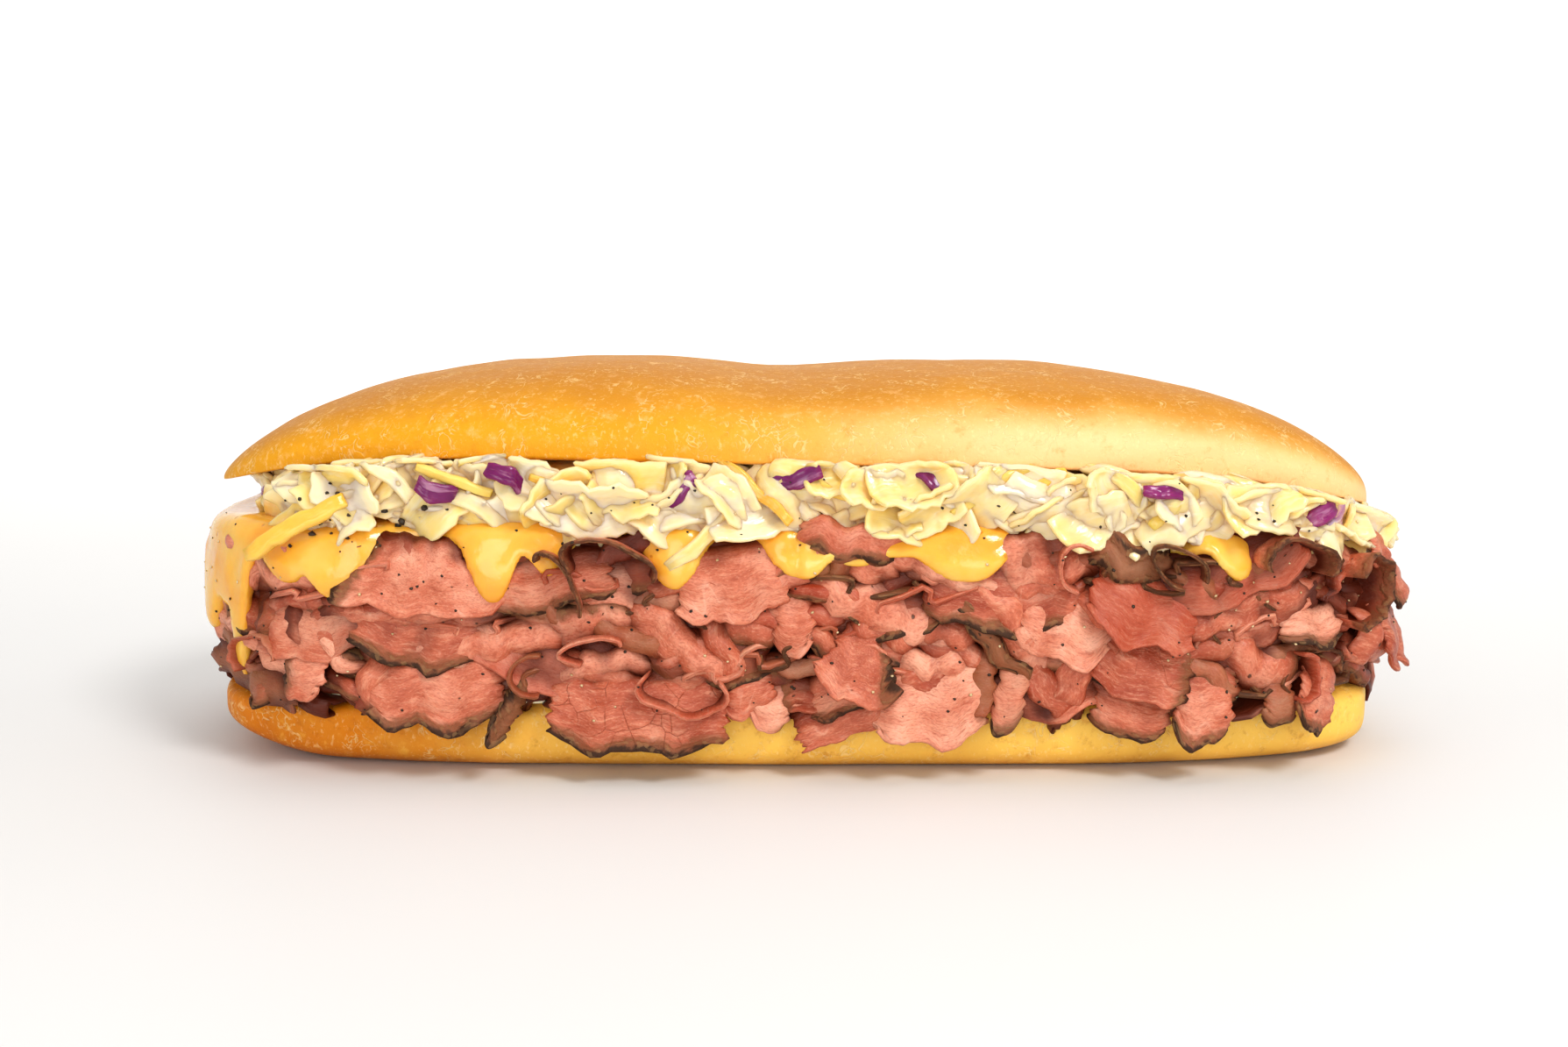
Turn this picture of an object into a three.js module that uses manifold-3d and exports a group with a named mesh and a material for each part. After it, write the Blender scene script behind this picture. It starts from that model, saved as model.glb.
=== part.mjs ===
// Submarine sandwich: a split soft roll filled with mayonnaise, shaved roast beef, cheese sauce and coleslaw.
// Millimetres, +Z up. X runs along the roll, the front faces -Y, and the origin is under the middle of it.
import * as THREE from "three";
import { mergeVertices } from "three/addons/utils/BufferGeometryUtils.js";
import Module from "manifold-3d";

const wasm = await Module();
wasm.setup();

// Driving dimensions of the roll and of its filling.
const ROLL_HALF = 115.5;
const CROWN_HALF_WIDTH = 40;
const CROWN_EDGE = 58.6;
const CROWN_RISE = 14.6;
const CROWN_LIP = 2.5;
const HEEL_HALF_WIDTH = 38.5;
const HEEL_HEIGHT = 14;
const MAYO_THICKNESS = 1.6;
const BEEF_TOP = 46;
const SAUCE_THICKNESS = 2.4;
const SLICE_THICKNESS = 1.7;
const SHRED_THICKNESS = 1.4;
const GAP = 0.3;
// How far the upper slices rise past the beef's top, in front of the sauce.
const SLICE_OVERLAP = 2;

// The filling's side wall, seen from above: two straight runs joined by round ends.
const WALL_HALF_WIDTH = 41.5;
const WALL_STRAIGHT = 76;
const WALL_END = Math.PI * WALL_HALF_WIDTH;
const WALL_ROUND = 4 * WALL_STRAIGHT + 2 * WALL_END;

const UP = new THREE.Vector3(0, 0, 1);

// The same draw of numbers from 0 to 1 on every run.
function draws(seed) {
  let state = seed;
  return () => {
    state = (state * 16807) % 2147483647;
    return state / 2147483647;
  };
}

// A power that keeps the sign. Rounding noise counts as nought, so that the seam of a round form closes.
const NOISE = 1e-9;
const signedPower = (value, power) =>
  Math.abs(value) < NOISE ? 0 : Math.sign(value) * Math.abs(value) ** power;

// How far the upper layers droop towards the roll's ends, the right end lower than the left.
const END_DROOP = 11;
const SIDE_SLOPE = 0.02;
const BEEF_SHARE = 0.5;
const droop = (x) => END_DROOP * Math.abs(x / ROLL_HALF) ** 4.5 + SIDE_SLOPE * x;
const crownEdge = (x) => CROWN_EDGE - droop(x);
const beefTop = (x) => BEEF_TOP - BEEF_SHARE * droop(x);

// The loaf rose in two swells, with a shallow dip between them.
function crownRise(x) {
  const swell = (centre, spread) => Math.exp(-(((x - centre) / spread) ** 2));
  return CROWN_RISE + 0.3 * swell(-45, 30) - 2.1 * swell(-3, 18) + 0.6 * swell(60, 34);
}

// A vertex geometry as a closed solid that can be joined and cut.
function solidOf(geometry) {
  geometry.deleteAttribute("normal");
  geometry.deleteAttribute("uv");
  const welded = mergeVertices(geometry, 1e-4);
  return new wasm.Manifold(
    new wasm.Mesh({
      numProp: 3,
      vertProperties: new Float32Array(welded.attributes.position.array),
      triVerts: new Uint32Array(welded.index.array),
    }),
  );
}

function geometryOf(solid) {
  const mesh = solid.getMesh();
  const geometry = new THREE.BufferGeometry();
  geometry.setAttribute("position", new THREE.BufferAttribute(mesh.vertProperties, 3));
  geometry.setIndex(new THREE.BufferAttribute(mesh.triVerts, 1));
  geometry.computeVertexNormals();
  return geometry;
}

const fused = (solids) => solids.reduce((whole, solid) => whole.add(solid));

// The main body alone: loose scraps go, and hollows that are sealed inside are filled.
function mainBody(solid) {
  return solid.decompose().reduce((best, body) => (body.volume() > best.volume() ? body : best));
}

// The end power of a layer that is rounded alike at both ends.
const plainEnd = () => 0.5;

// A rounded layer between two heights that change along the roll, with its poles at the roll's ends.
// grow enlarges it all over. Edge powers under 1 make the plan, the rim above or the rim below squarer, and a
// higher end power makes the end of the roll on that side taper more.
function layer(form) {
  const { half, width, low, mid, high, plan, above, below, around, along } = form;
  const { ends = plainEnd, floor, grow = 0 } = form;
  const geometry = new THREE.SphereGeometry(1, around, along);
  const place = geometry.attributes.position;
  for (let i = 0; i < place.count; i++) {
    const ring = Math.hypot(place.getX(i), place.getZ(i));
    const sideways = ring > 1e-6 ? place.getZ(i) / ring : 0;
    const upward = ring > 1e-6 ? place.getX(i) / ring : 0;
    const x = (half + grow) * signedPower(place.getY(i), plan);
    const narrowing = ring > 1e-6 ? ring ** plan : 0;
    const power = upward > 0 ? above : below;
    const y = (width + grow) * narrowing * signedPower(sideways, power);
    const reach = upward > 0 ? high(x) - mid(x) + grow : mid(x) - low(x) + grow;
    const z = mid(x) + reach * narrowing ** ends(x) * signedPower(upward, power);
    place.setXYZ(i, x, y, floor === undefined ? z : Math.max(z, floor));
  }
  return solidOf(geometry);
}

// The heel's underside would be a little rounded, but it rests flat. Its left end rises from the base.
const HEEL_BULGE = 1.2;
const HEEL_WIDEST = 9.5;
const LEFT_ROUND = { start: -88, length: 28, height: 7 };
function heelUnderside(x) {
  const past = THREE.MathUtils.clamp((LEFT_ROUND.start - x) / LEFT_ROUND.length, 0, 1);
  return LEFT_ROUND.height * past ** 2 - HEEL_BULGE;
}

const heel = (grow) =>
  layer({
    half: ROLL_HALF - 0.5,
    width: HEEL_HALF_WIDTH,
    low: heelUnderside,
    mid: () => HEEL_WIDEST,
    high: () => HEEL_HEIGHT,
    plan: 0.5,
    above: 0.45,
    below: 0.45,
    floor: grow ? undefined : 0,
    around: 22,
    along: 20,
    grow,
  });

// The crown runs out thin at its left end and is blunter at its right end.
const LEFT_TAPER = 1.57;
const RIGHT_TAPER = 0.96;

const crown = (grow) =>
  layer({
    half: ROLL_HALF,
    width: CROWN_HALF_WIDTH,
    low: crownEdge,
    mid: (x) => crownEdge(x) + CROWN_LIP,
    high: (x) => crownEdge(x) + CROWN_LIP + crownRise(x),
    plan: 0.75,
    above: 0.85,
    below: 0.3,
    ends: (x) => (x < 0 ? LEFT_TAPER : RIGHT_TAPER),
    around: 24,
    along: 24,
    grow,
  });

const mayo = (grow) =>
  layer({
    half: ROLL_HALF - 4,
    width: HEEL_HALF_WIDTH - 0.5,
    low: () => HEEL_HEIGHT + GAP,
    mid: () => HEEL_HEIGHT + GAP + MAYO_THICKNESS / 2,
    high: () => HEEL_HEIGHT + GAP + MAYO_THICKNESS,
    plan: 0.5,
    above: 0.4,
    below: 0.4,
    around: 12,
    along: 14,
    grow,
  });

// A plain rounded block inside the filling, to which the pieces that show are fused.
// It may stop short on the left.
function core(inset, low, high, leftInset = 0) {
  const shift = leftInset / 2;
  return layer({
    half: WALL_STRAIGHT + WALL_HALF_WIDTH - inset - shift,
    width: WALL_HALF_WIDTH - inset,
    low: (x) => low(x + shift),
    mid: (x) => (low(x + shift) + high(x + shift)) / 2,
    high: (x) => high(x + shift),
    plan: 0.55,
    above: 0.5,
    below: 0.5,
    around: 14,
    along: 12,
  }).translate([shift, 0, 0]);
}

// The place s millimetres round the filling's side wall, counted to the right from the middle of the front:
// the point itself, the direction along the wall and the direction out of it.
function wallAt(s) {
  const whole = ((s % WALL_ROUND) + WALL_ROUND) % WALL_ROUND;
  const back = whole > WALL_STRAIGHT + WALL_END / 2 && whole < WALL_ROUND - WALL_STRAIGHT - WALL_END / 2;
  const half = WALL_ROUND / 2;
  const near = back ? whole - half : whole > half ? whole - WALL_ROUND : whole;
  const past = Math.max(0, Math.abs(near) - WALL_STRAIGHT) * Math.sign(near);
  const turn = past / WALL_HALF_WIDTH;
  const point = new THREE.Vector3(
    near - past + WALL_HALF_WIDTH * Math.sin(turn),
    -WALL_HALF_WIDTH * Math.cos(turn),
    0,
  );
  const along = new THREE.Vector3(Math.cos(turn), Math.sin(turn), 0);
  const out = new THREE.Vector3(Math.sin(turn), -Math.cos(turn), 0);
  if (back) [point, along, out].forEach((vector) => vector.set(-vector.x, -vector.y, vector.z));
  return { point, along, out };
}

// Even steps from 0 to 1.
const evenly = (cells) => Array.from({ length: cells + 1 }, (_, i) => i / cells);

// A thin solid of even thickness on a surface of u and v, sampled at the given stops.
function sheet(surface, stopsU, stopsV, thickness) {
  const step = 1e-3;
  const upper = [];
  const lower = [];
  for (const u of stopsU) {
    for (const v of stopsV) {
      const middle = surface(u, v);
      const alongU = surface(u + step, v).sub(surface(u - step, v));
      const alongV = surface(u, v + step).sub(surface(u, v - step));
      const normal = alongU.cross(alongV).setLength(thickness / 2);
      upper.push(middle.clone().add(normal));
      lower.push(middle.clone().sub(normal));
    }
  }
  const [cellsU, cellsV] = [stopsU.length - 1, stopsV.length - 1];
  const under = upper.length;
  const at = (i, j) => i * (cellsV + 1) + j;
  const index = [];
  for (let i = 0; i < cellsU; i++) {
    for (let j = 0; j < cellsV; j++) {
      const [a, b, c, d] = [at(i, j), at(i + 1, j), at(i + 1, j + 1), at(i, j + 1)];
      index.push(a, b, c, a, c, d);
      index.push(under + a, under + c, under + b, under + a, under + d, under + c);
    }
  }
  const wall = (a, b) => index.push(a, under + a, under + b, a, under + b, b);
  for (let i = 0; i < cellsU; i++) {
    wall(at(i, 0), at(i + 1, 0));
    wall(at(i + 1, cellsV), at(i, cellsV));
  }
  for (let j = 0; j < cellsV; j++) {
    wall(at(0, j + 1), at(0, j));
    wall(at(cellsU, j), at(cellsU, j + 1));
  }
  const geometry = new THREE.BufferGeometry().setFromPoints([...upper, ...lower]);
  geometry.setIndex(index);
  return solidOf(geometry);
}

// How far a slice runs back into the heap.
const SLICE_DEPTH = 13;

// How far along a slice it is sampled: closely round the bend, and no deeper than the heap's core.
const RIDGE_STOPS = [0.15, 0.4, 0.5, 0.6, 0.85];
const FLAP_STOPS = [0.12, 0.35, 0.5, 0.75, 1];

// Where a slice of beef is folded over so that a rounded ridge faces out. Gives [out, rise] along the fold.
function ridgePath(u, height) {
  const bend = height / 2;
  if (u < 0.3) return [-bend - SLICE_DEPTH * (1 - u / 0.3), bend];
  if (u > 0.7) return [-bend - (SLICE_DEPTH * (u - 0.7)) / 0.3, -bend];
  const turn = ((u - 0.3) / 0.4) * Math.PI;
  return [-bend + bend * Math.sin(turn), bend * Math.cos(turn)];
}

// Where a slice comes out of the heap over a rounded shoulder and hangs down it. Gives [out, rise].
function flapPath(u, height) {
  const shoulder = Math.min(3, height / 3);
  const sway = 0.6;
  const top = height / 2;
  if (u < 0.3) return [-shoulder - SLICE_DEPTH * (1 - u / 0.3), top];
  if (u < 0.5) {
    const turn = ((u - 0.3) / 0.2) * (Math.PI / 2);
    return [-shoulder + shoulder * Math.sin(turn), top - shoulder * (1 - Math.cos(turn))];
  }
  const hang = (u - 0.5) / 0.5;
  return [sway * Math.sin(hang * 5), top - shoulder - hang * (height - shoulder)];
}

// One slice of beef. A ridge and a flap are as wide as span and as high as height, and turn tilts them.
// A curl is a loop seen from its end, with those outer sizes, that opens from turn over sweep degrees.
function beefSlice({ kind, s, z, turn, span, height, sweep = 250, lift = 0 }) {
  const { point, along, out } = wallAt(s);
  const place = (a, b, c) =>
    point
      .clone()
      .addScaledVector(along, a)
      .addScaledVector(UP, z + b)
      .addScaledVector(out, lift + c);
  const tilt = THREE.MathUtils.degToRad(turn);
  if (kind === "curl") {
    const forward = 1.5;
    const narrowest = 0.55;
    const opening = THREE.MathUtils.degToRad(sweep);
    const loop = (u, v) => {
      const angle = tilt + u * opening;
      const narrowing = 1 - (1 - narrowest) * v;
      return place(
        (span / 2) * Math.cos(angle) * narrowing,
        (height / 2) * Math.sin(angle) * narrowing,
        forward - (forward + SLICE_DEPTH) * v,
      );
    };
    return sheet(loop, evenly(7), evenly(1), SLICE_THICKNESS);
  }
  const waist = 0.12;
  const rippleSize = 0.9;
  const path = kind === "ridge" ? ridgePath : flapPath;
  const hung = (u, v) => {
    const [c, rise] = path(u, height);
    const across = (v - 0.5) * span * (1 - waist * Math.sin(u * 9 + s));
    const ripple = rippleSize * Math.sin(v * 7 + s);
    const b = rise + ripple * (kind === "ridge" ? 1 : 0.4);
    return place(
      across * Math.cos(tilt) - b * Math.sin(tilt),
      across * Math.sin(tilt) + b * Math.cos(tilt),
      c + (kind === "flap" ? ripple : 0),
    );
  };
  const stops = kind === "ridge" ? RIDGE_STOPS : FLAP_STOPS;
  return sheet(hung, stops, evenly(2), SLICE_THICKNESS);
}

// The larger slices of the front, from left to right: their place on the wall, their turn and their size.
const FRONT_SLICES = [
  { kind: "ridge", s: -97, z: 38, turn: -5, span: 22, height: 9 },
  { kind: "curl", s: -103, z: 20, turn: 20, span: 13, height: 10, sweep: 200 },
  { kind: "ridge", s: -82, z: 30, turn: 8, span: 34, height: 6 },
  { kind: "flap", s: -67, z: 38, turn: -10, span: 32, height: 12 },
  { kind: "flap", s: -67, z: 16.5, turn: 3, span: 25, height: 13, lift: 1 },
  { kind: "ridge", s: -57, z: 26, turn: 13, span: 26, height: 7 },
  { kind: "flap", s: -47, z: 38, turn: 10, span: 20, height: 11 },
  { kind: "curl", s: -35, z: 40, turn: -30, span: 17, height: 11 },
  { kind: "flap", s: -30, z: 13, turn: -3, span: 33, height: 13, lift: 1.5 },
  { kind: "ridge", s: -22, z: 26, turn: -40, span: 22, height: 6 },
  { kind: "curl", s: -13, z: 19, turn: 160, span: 14, height: 13, sweep: 200 },
  { kind: "flap", s: -13, z: 37, turn: 8, span: 22, height: 14 },
  { kind: "ridge", s: 15, z: 33, turn: -17, span: 29, height: 8 },
  { kind: "flap", s: 11, z: 23, turn: -12, span: 18, height: 13 },
  { kind: "ridge", s: 24, z: 41, turn: -14, span: 30, height: 6 },
  { kind: "flap", s: 22, z: 14, turn: 4, span: 21, height: 13, lift: 1 },
  { kind: "ridge", s: 39, z: 27, turn: -48, span: 25, height: 8 },
  { kind: "flap", s: 47, z: 39, turn: 4, span: 20, height: 11 },
  { kind: "ridge", s: 51, z: 19, turn: 68, span: 20, height: 6, lift: 1 },
  { kind: "flap", s: 62, z: 20, turn: -14, span: 21, height: 16, lift: 1 },
  { kind: "flap", s: 61, z: 32, turn: -20, span: 21, height: 10 },
  { kind: "curl", s: 66, z: 42, turn: -40, span: 19, height: 9, sweep: 280 },
  { kind: "ridge", s: 83, z: 32, turn: 11, span: 30, height: 8 },
  { kind: "flap", s: 85, z: 21, turn: -15, span: 19, height: 10 },
  { kind: "curl", s: 90, z: 41, turn: -25, span: 14, height: 11, sweep: 240 },
  { kind: "flap", s: 98, z: 15, turn: -28, span: 11, height: 13, lift: 1 },
  { kind: "curl", s: 109, z: 34, turn: -130, span: 13, height: 13, sweep: 260 },
  { kind: "flap", s: 122, z: 23, turn: -8, span: 17, height: 12, lift: 4 },
];

// The ends and the back carry slices of the same kinds and sizes, set round the wall by a seeded draw.
function farSlices() {
  const draw = draws(71);
  const first = 146;
  const last = WALL_ROUND - 118;
  const columns = 5;
  const rows = [18, 35];
  const slices = [];
  for (let column = 0; column < columns; column++) {
    rows.forEach((z, row) => {
      const s = first + ((last - first) * (column + 0.5 * (row % 2) + 0.3 * draw())) / columns;
      const kind = ["flap", "ridge", "flap", "curl"][Math.floor(draw() * 4)];
      const high = { ridge: 8, flap: 14, curl: 13 }[kind];
      slices.push({
        kind,
        s,
        z: z + 2 * draw(),
        turn: kind === "curl" ? -30 : 24 * (draw() - 0.5),
        span: kind === "curl" ? 18 : 32 + 8 * draw(),
        height: high,
        lift: row === 0 ? 1 : 0,
      });
    });
  }
  return slices;
}

// Sauce runs down the wall in rounded tongues: place on the wall, height of the lower tip, and width of each.
const SAUCE_TONGUES = [
  { s: -117, tip: 30, width: 18 },
  { s: -108, tip: 18, width: 7 },
  { s: -84, tip: 35, width: 18 },
  { s: -56, tip: 34, width: 12 },
  { s: -24, tip: 37.5, width: 14 },
  { s: -1, tip: 39, width: 13 },
  { s: 30, tip: 38, width: 17 },
  { s: 56, tip: 37, width: 10 },
  { s: 81, tip: 38, width: 13 },
  { s: 150, tip: 34, width: 13 },
  { s: 215, tip: 35, width: 15 },
  { s: 262, tip: 37, width: 13 },
  { s: 310, tip: 34, width: 15 },
  { s: 352, tip: 37, width: 12 },
];
const TONGUE_DEPTH = 7.5;
const TONGUE_INSET = 1;

function sauce(grow) {
  const top = (x) => beefTop(x) + GAP + SAUCE_THICKNESS;
  const pool = layer({
    half: WALL_STRAIGHT + WALL_HALF_WIDTH - 1,
    width: WALL_HALF_WIDTH - 0.5,
    low: (x) => beefTop(x) + GAP,
    mid: (x) => beefTop(x) + GAP + SAUCE_THICKNESS / 2,
    high: top,
    plan: 0.6,
    above: 0.5,
    below: 0.5,
    around: 10,
    along: 18,
    grow,
  });
  const tongues = SAUCE_TONGUES.map(({ s, tip, width }) => {
    const { point, out } = wallAt(s);
    const middle = point.clone().addScaledVector(out, -TONGUE_INSET);
    const length = top(middle.x) - tip;
    const tongue = new THREE.SphereGeometry(1, 8, 5);
    tongue.rotateX(Math.PI / 2);
    tongue.scale(width / 2 + grow, TONGUE_DEPTH / 2 + grow, length / 2 + grow);
    tongue.rotateZ(Math.atan2(out.x, -out.y));
    tongue.translate(middle.x, middle.y, tip + length / 2);
    return solidOf(tongue);
  });
  return fused([pool, ...tongues]);
}

// Shreds of slaw are tucked into their heap, which stops short of the roll's left end.
const SHRED_TUCK = 4;
const SLAW_LEFT_INSET = 13;

// One shred of cabbage: a bowed strip whose ends are tucked into the heap.
function shred({ s, z, turn, length, width, bow }) {
  const { point, along, out } = wallAt(s);
  const tuck = SHRED_TUCK + SLAW_LEFT_INSET * Math.max(0, -out.x) ** 2;
  const angle = THREE.MathUtils.degToRad(turn);
  const surface = (u, v) => {
    const run = (u - 0.5) * length;
    const across = (v - 0.5) * width * (0.75 + 0.5 * Math.sin(Math.PI * u));
    const rise = Math.sin(angle) * run + Math.cos(angle) * across;
    return point
      .clone()
      .addScaledVector(along, Math.cos(angle) * run - Math.sin(angle) * across)
      .addScaledVector(UP, z + rise)
      .addScaledVector(out, bow * Math.sin(Math.PI * u) - tuck);
  };
  return sheet(surface, evenly(3), evenly(1), SHRED_THICKNESS);
}

function slawShreds() {
  const draw = draws(23);
  const count = 26;
  const shreds = [];
  for (let i = 0; i < count; i++) {
    const s = (WALL_ROUND * (i + 0.6 * draw())) / count;
    const x = wallAt(s).point.x;
    const room = crownEdge(x) - beefTop(x) - SAUCE_THICKNESS;
    shreds.push({
      s,
      z: beefTop(x) + SAUCE_THICKNESS + room * (0.35 + 0.3 * draw()),
      turn: 40 * (draw() - 0.5),
      length: 19 + 8 * draw(),
      width: 4 + 2.5 * draw(),
      bow: 4.5 + 3 * draw(),
    });
  }
  return shreds.map(shred);
}

// Everything above, or below, a height that changes along the roll, as a cutter.
function beyond(height, up) {
  const far = 100;
  const slab = new THREE.BoxGeometry(4 * far, 2 * far, far, 24, 1, 1);
  const place = slab.attributes.position;
  for (let i = 0; i < place.count; i++) {
    const nearSide = up ? place.getZ(i) < 0 : place.getZ(i) > 0;
    const x = THREE.MathUtils.clamp(place.getX(i), -ROLL_HALF - 10, ROLL_HALF + 10);
    const side = up ? far : -far;
    place.setZ(i, nearSide ? height(x) : side);
  }
  return solidOf(slab);
}

function roastBeef() {
  const block = core(6, () => HEEL_HEIGHT + MAYO_THICKNESS + 3 * GAP, (x) => beefTop(x) - GAP);
  const slices = fused([...FRONT_SLICES, ...farSlices()].map(beefSlice))
    .subtract(beyond((x) => beefTop(x) + SLICE_OVERLAP, true))
    .subtract(sauce(GAP))
    .subtract(mayo(GAP))
    .subtract(heel(GAP));
  return mainBody(slices.add(block));
}

function coleslaw() {
  const low = (x) => beefTop(x) + SAUCE_THICKNESS + 3 * GAP;
  const block = core(2.5, low, (x) => crownEdge(x) - 2 * GAP, SLAW_LEFT_INSET);
  const shreds = fused(slawShreds())
    .subtract(beyond((x) => beefTop(x) + SLICE_OVERLAP + GAP, false))
    .subtract(sauce(GAP))
    .subtract(crown(GAP));
  return mainBody(shreds.add(block));
}

function piece(name, solid, color, roughness) {
  const mesh = new THREE.Mesh(
    geometryOf(solid),
    new THREE.MeshStandardMaterial({ color, roughness, metalness: 0 }),
  );
  mesh.name = name;
  return mesh;
}

const sandwich = new THREE.Group();
sandwich.add(
  piece("bottom_bun", heel(0), 0xe8ae48, 0.6),
  piece("mayonnaise", mayo(0), 0xf4ead2, 0.35),
  piece("roast_beef", roastBeef(), 0xc9705a, 0.45),
  piece("cheese_sauce", mainBody(sauce(0)), 0xf5b43c, 0.25),
  piece("coleslaw", coleslaw(), 0xf0e6b0, 0.35),
  piece("top_bun", crown(0), 0xdf9a34, 0.5),
);

export default sandwich;
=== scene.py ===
import math
import random

import bpy
import numpy as np
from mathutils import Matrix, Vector, noise
from mathutils.bvhtree import BVHTree


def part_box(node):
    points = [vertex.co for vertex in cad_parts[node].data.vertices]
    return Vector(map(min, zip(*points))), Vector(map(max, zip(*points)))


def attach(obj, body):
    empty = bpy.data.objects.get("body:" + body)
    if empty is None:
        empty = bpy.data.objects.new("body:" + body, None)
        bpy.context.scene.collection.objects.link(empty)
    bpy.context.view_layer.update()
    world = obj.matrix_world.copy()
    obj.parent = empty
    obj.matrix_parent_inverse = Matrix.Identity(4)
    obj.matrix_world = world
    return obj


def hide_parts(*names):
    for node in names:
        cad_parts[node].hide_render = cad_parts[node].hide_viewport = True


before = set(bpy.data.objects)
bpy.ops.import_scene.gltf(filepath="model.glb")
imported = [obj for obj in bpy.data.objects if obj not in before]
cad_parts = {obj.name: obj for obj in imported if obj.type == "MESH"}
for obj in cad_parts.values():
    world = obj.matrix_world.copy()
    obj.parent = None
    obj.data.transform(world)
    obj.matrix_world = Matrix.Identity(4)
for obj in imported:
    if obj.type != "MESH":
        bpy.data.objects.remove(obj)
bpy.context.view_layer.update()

# Bottom half of the roll
# A soft wheat roll is split along its length. The lower half is a shallow loaf with a flat base,
# baked golden, paler to the right, with a browner line where it lay on the oven shelf.
# The paler right side is partly painted light: its colour is brightened in place of light.
MM = 0.001
heel_low, heel_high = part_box("bottom_bun")
crown_low, crown_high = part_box("top_bun")
ROLL_HALF = (crown_high.x - crown_low.x) / 2 / MM
HEEL_HALF_WIDTH = (heel_high.y - heel_low.y) / 2 / MM
HEEL_HEIGHT = heel_high.z / MM


class Value:
    """One output of a material's nodes. Arithmetic on it adds Math nodes."""

    def __init__(self, recipe, node, out):
        self.recipe = recipe
        self.node = node
        self.socket = node.outputs[out]

    def other(self, out):
        return Value(self.recipe, self.node, out)

    def math(self, operation, first, second):
        return self.recipe.node("ShaderNodeMath", {"operation": operation}, {0: first, 1: second})

    def size(self):
        return self.math("ABSOLUTE", self, 0.0)

    def __add__(self, number):
        return self.math("ADD", self, number)

    def __sub__(self, number):
        return self.math("SUBTRACT", self, number)

    def __rsub__(self, number):
        return self.math("SUBTRACT", number, self)

    def __mul__(self, number):
        return self.math("MULTIPLY", self, number)

    __radd__ = __add__
    __rmul__ = __mul__


class Recipe:
    """A procedural material while it is being mixed."""

    def __init__(self, name):
        self.material = bpy.data.materials.new(name)
        self.material.use_nodes = True
        self.tree = self.material.node_tree
        self.shader = self.tree.nodes["Principled BSDF"]

    def node(self, kind, settings=None, sockets=None, out=0):
        made = self.tree.nodes.new(kind)
        for name, setting in (settings or {}).items():
            if name == "stops":
                self.set_stops(made.color_ramp.elements, setting)
            else:
                setattr(made, name, setting)
        for key, value in (sockets or {}).items():
            self.feed(made.inputs[key], value)
        return Value(self, made, out)

    def set_stops(self, elements, stops):
        while len(elements) < len(stops):
            elements.new(1.0)
        for element, (place, colour) in zip(elements, stops):
            element.position = place
            element.color = (*colour, 1.0)

    def feed(self, socket, value):
        if isinstance(value, Value):
            self.tree.links.new(value.socket, socket)
        elif isinstance(value, tuple) and len(value) == 3 and socket.type == "RGBA":
            socket.default_value = (*value, 1.0)
        else:
            socket.default_value = value

    def place(self):
        return self.node("ShaderNodeTexCoord", out="Object")

    def stretch(self, vector, scale):
        return self.node("ShaderNodeMapping", {}, {"Vector": vector, "Scale": scale})

    def mark(self, name, out="Fac"):
        return self.node("ShaderNodeAttribute", {"attribute_name": name}, out=out)

    def cloud(self, vector, scale, detail=3.0, rough=0.55, twist=0.0):
        sockets = {"Vector": vector, "Scale": scale, "Detail": detail}
        sockets.update({"Roughness": rough, "Distortion": twist})
        return self.node("ShaderNodeTexNoise", {}, sockets)

    def cells(self, vector, scale, feature="F1", out="Distance"):
        sockets = {"Vector": vector, "Scale": scale}
        return self.node("ShaderNodeTexVoronoi", {"feature": feature}, sockets, out)

    def step(self, value, low, high, start=0.0, end=1.0):
        sockets = {"Value": value, "From Min": low, "From Max": high, "To Min": start, "To Max": end}
        return self.node("ShaderNodeMapRange", {"interpolation_type": "SMOOTHSTEP"}, sockets)

    def ramp(self, value, stops):
        return self.node("ShaderNodeValToRGB", {"stops": stops}, {0: value})

    def mix(self, factor, first, second, blend="MIX"):
        settings = {"data_type": "RGBA", "blend_type": blend}
        return self.node("ShaderNodeMix", settings, {0: factor, 6: first, 7: second}, 2)

    def finish(self, colour, rough, height=None, relief=0.001, strength=1.0, **constants):
        self.feed(self.shader.inputs["Base Color"], colour)
        self.feed(self.shader.inputs["Roughness"], rough)
        if height is not None:
            sockets = {"Height": height, "Distance": relief, "Strength": strength}
            self.feed(self.shader.inputs["Normal"], self.node("ShaderNodeBump", {}, sockets))
        for name, number in constants.items():
            self.feed(self.shader.inputs[name.replace("_", " ")], number)
        return self.material


def signed_power(value, power):
    return np.sign(value) * np.abs(value) ** power


def wander(points, size, seed):
    """A smooth uneven number from -1 to 1 at each point, with lumps of about that size in millimetres."""
    shift = Vector((seed * 7.3, seed * 3.1, seed * 5.7))
    return np.array([noise.noise(Vector(point) / size + shift) for point in points.tolist()])


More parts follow.
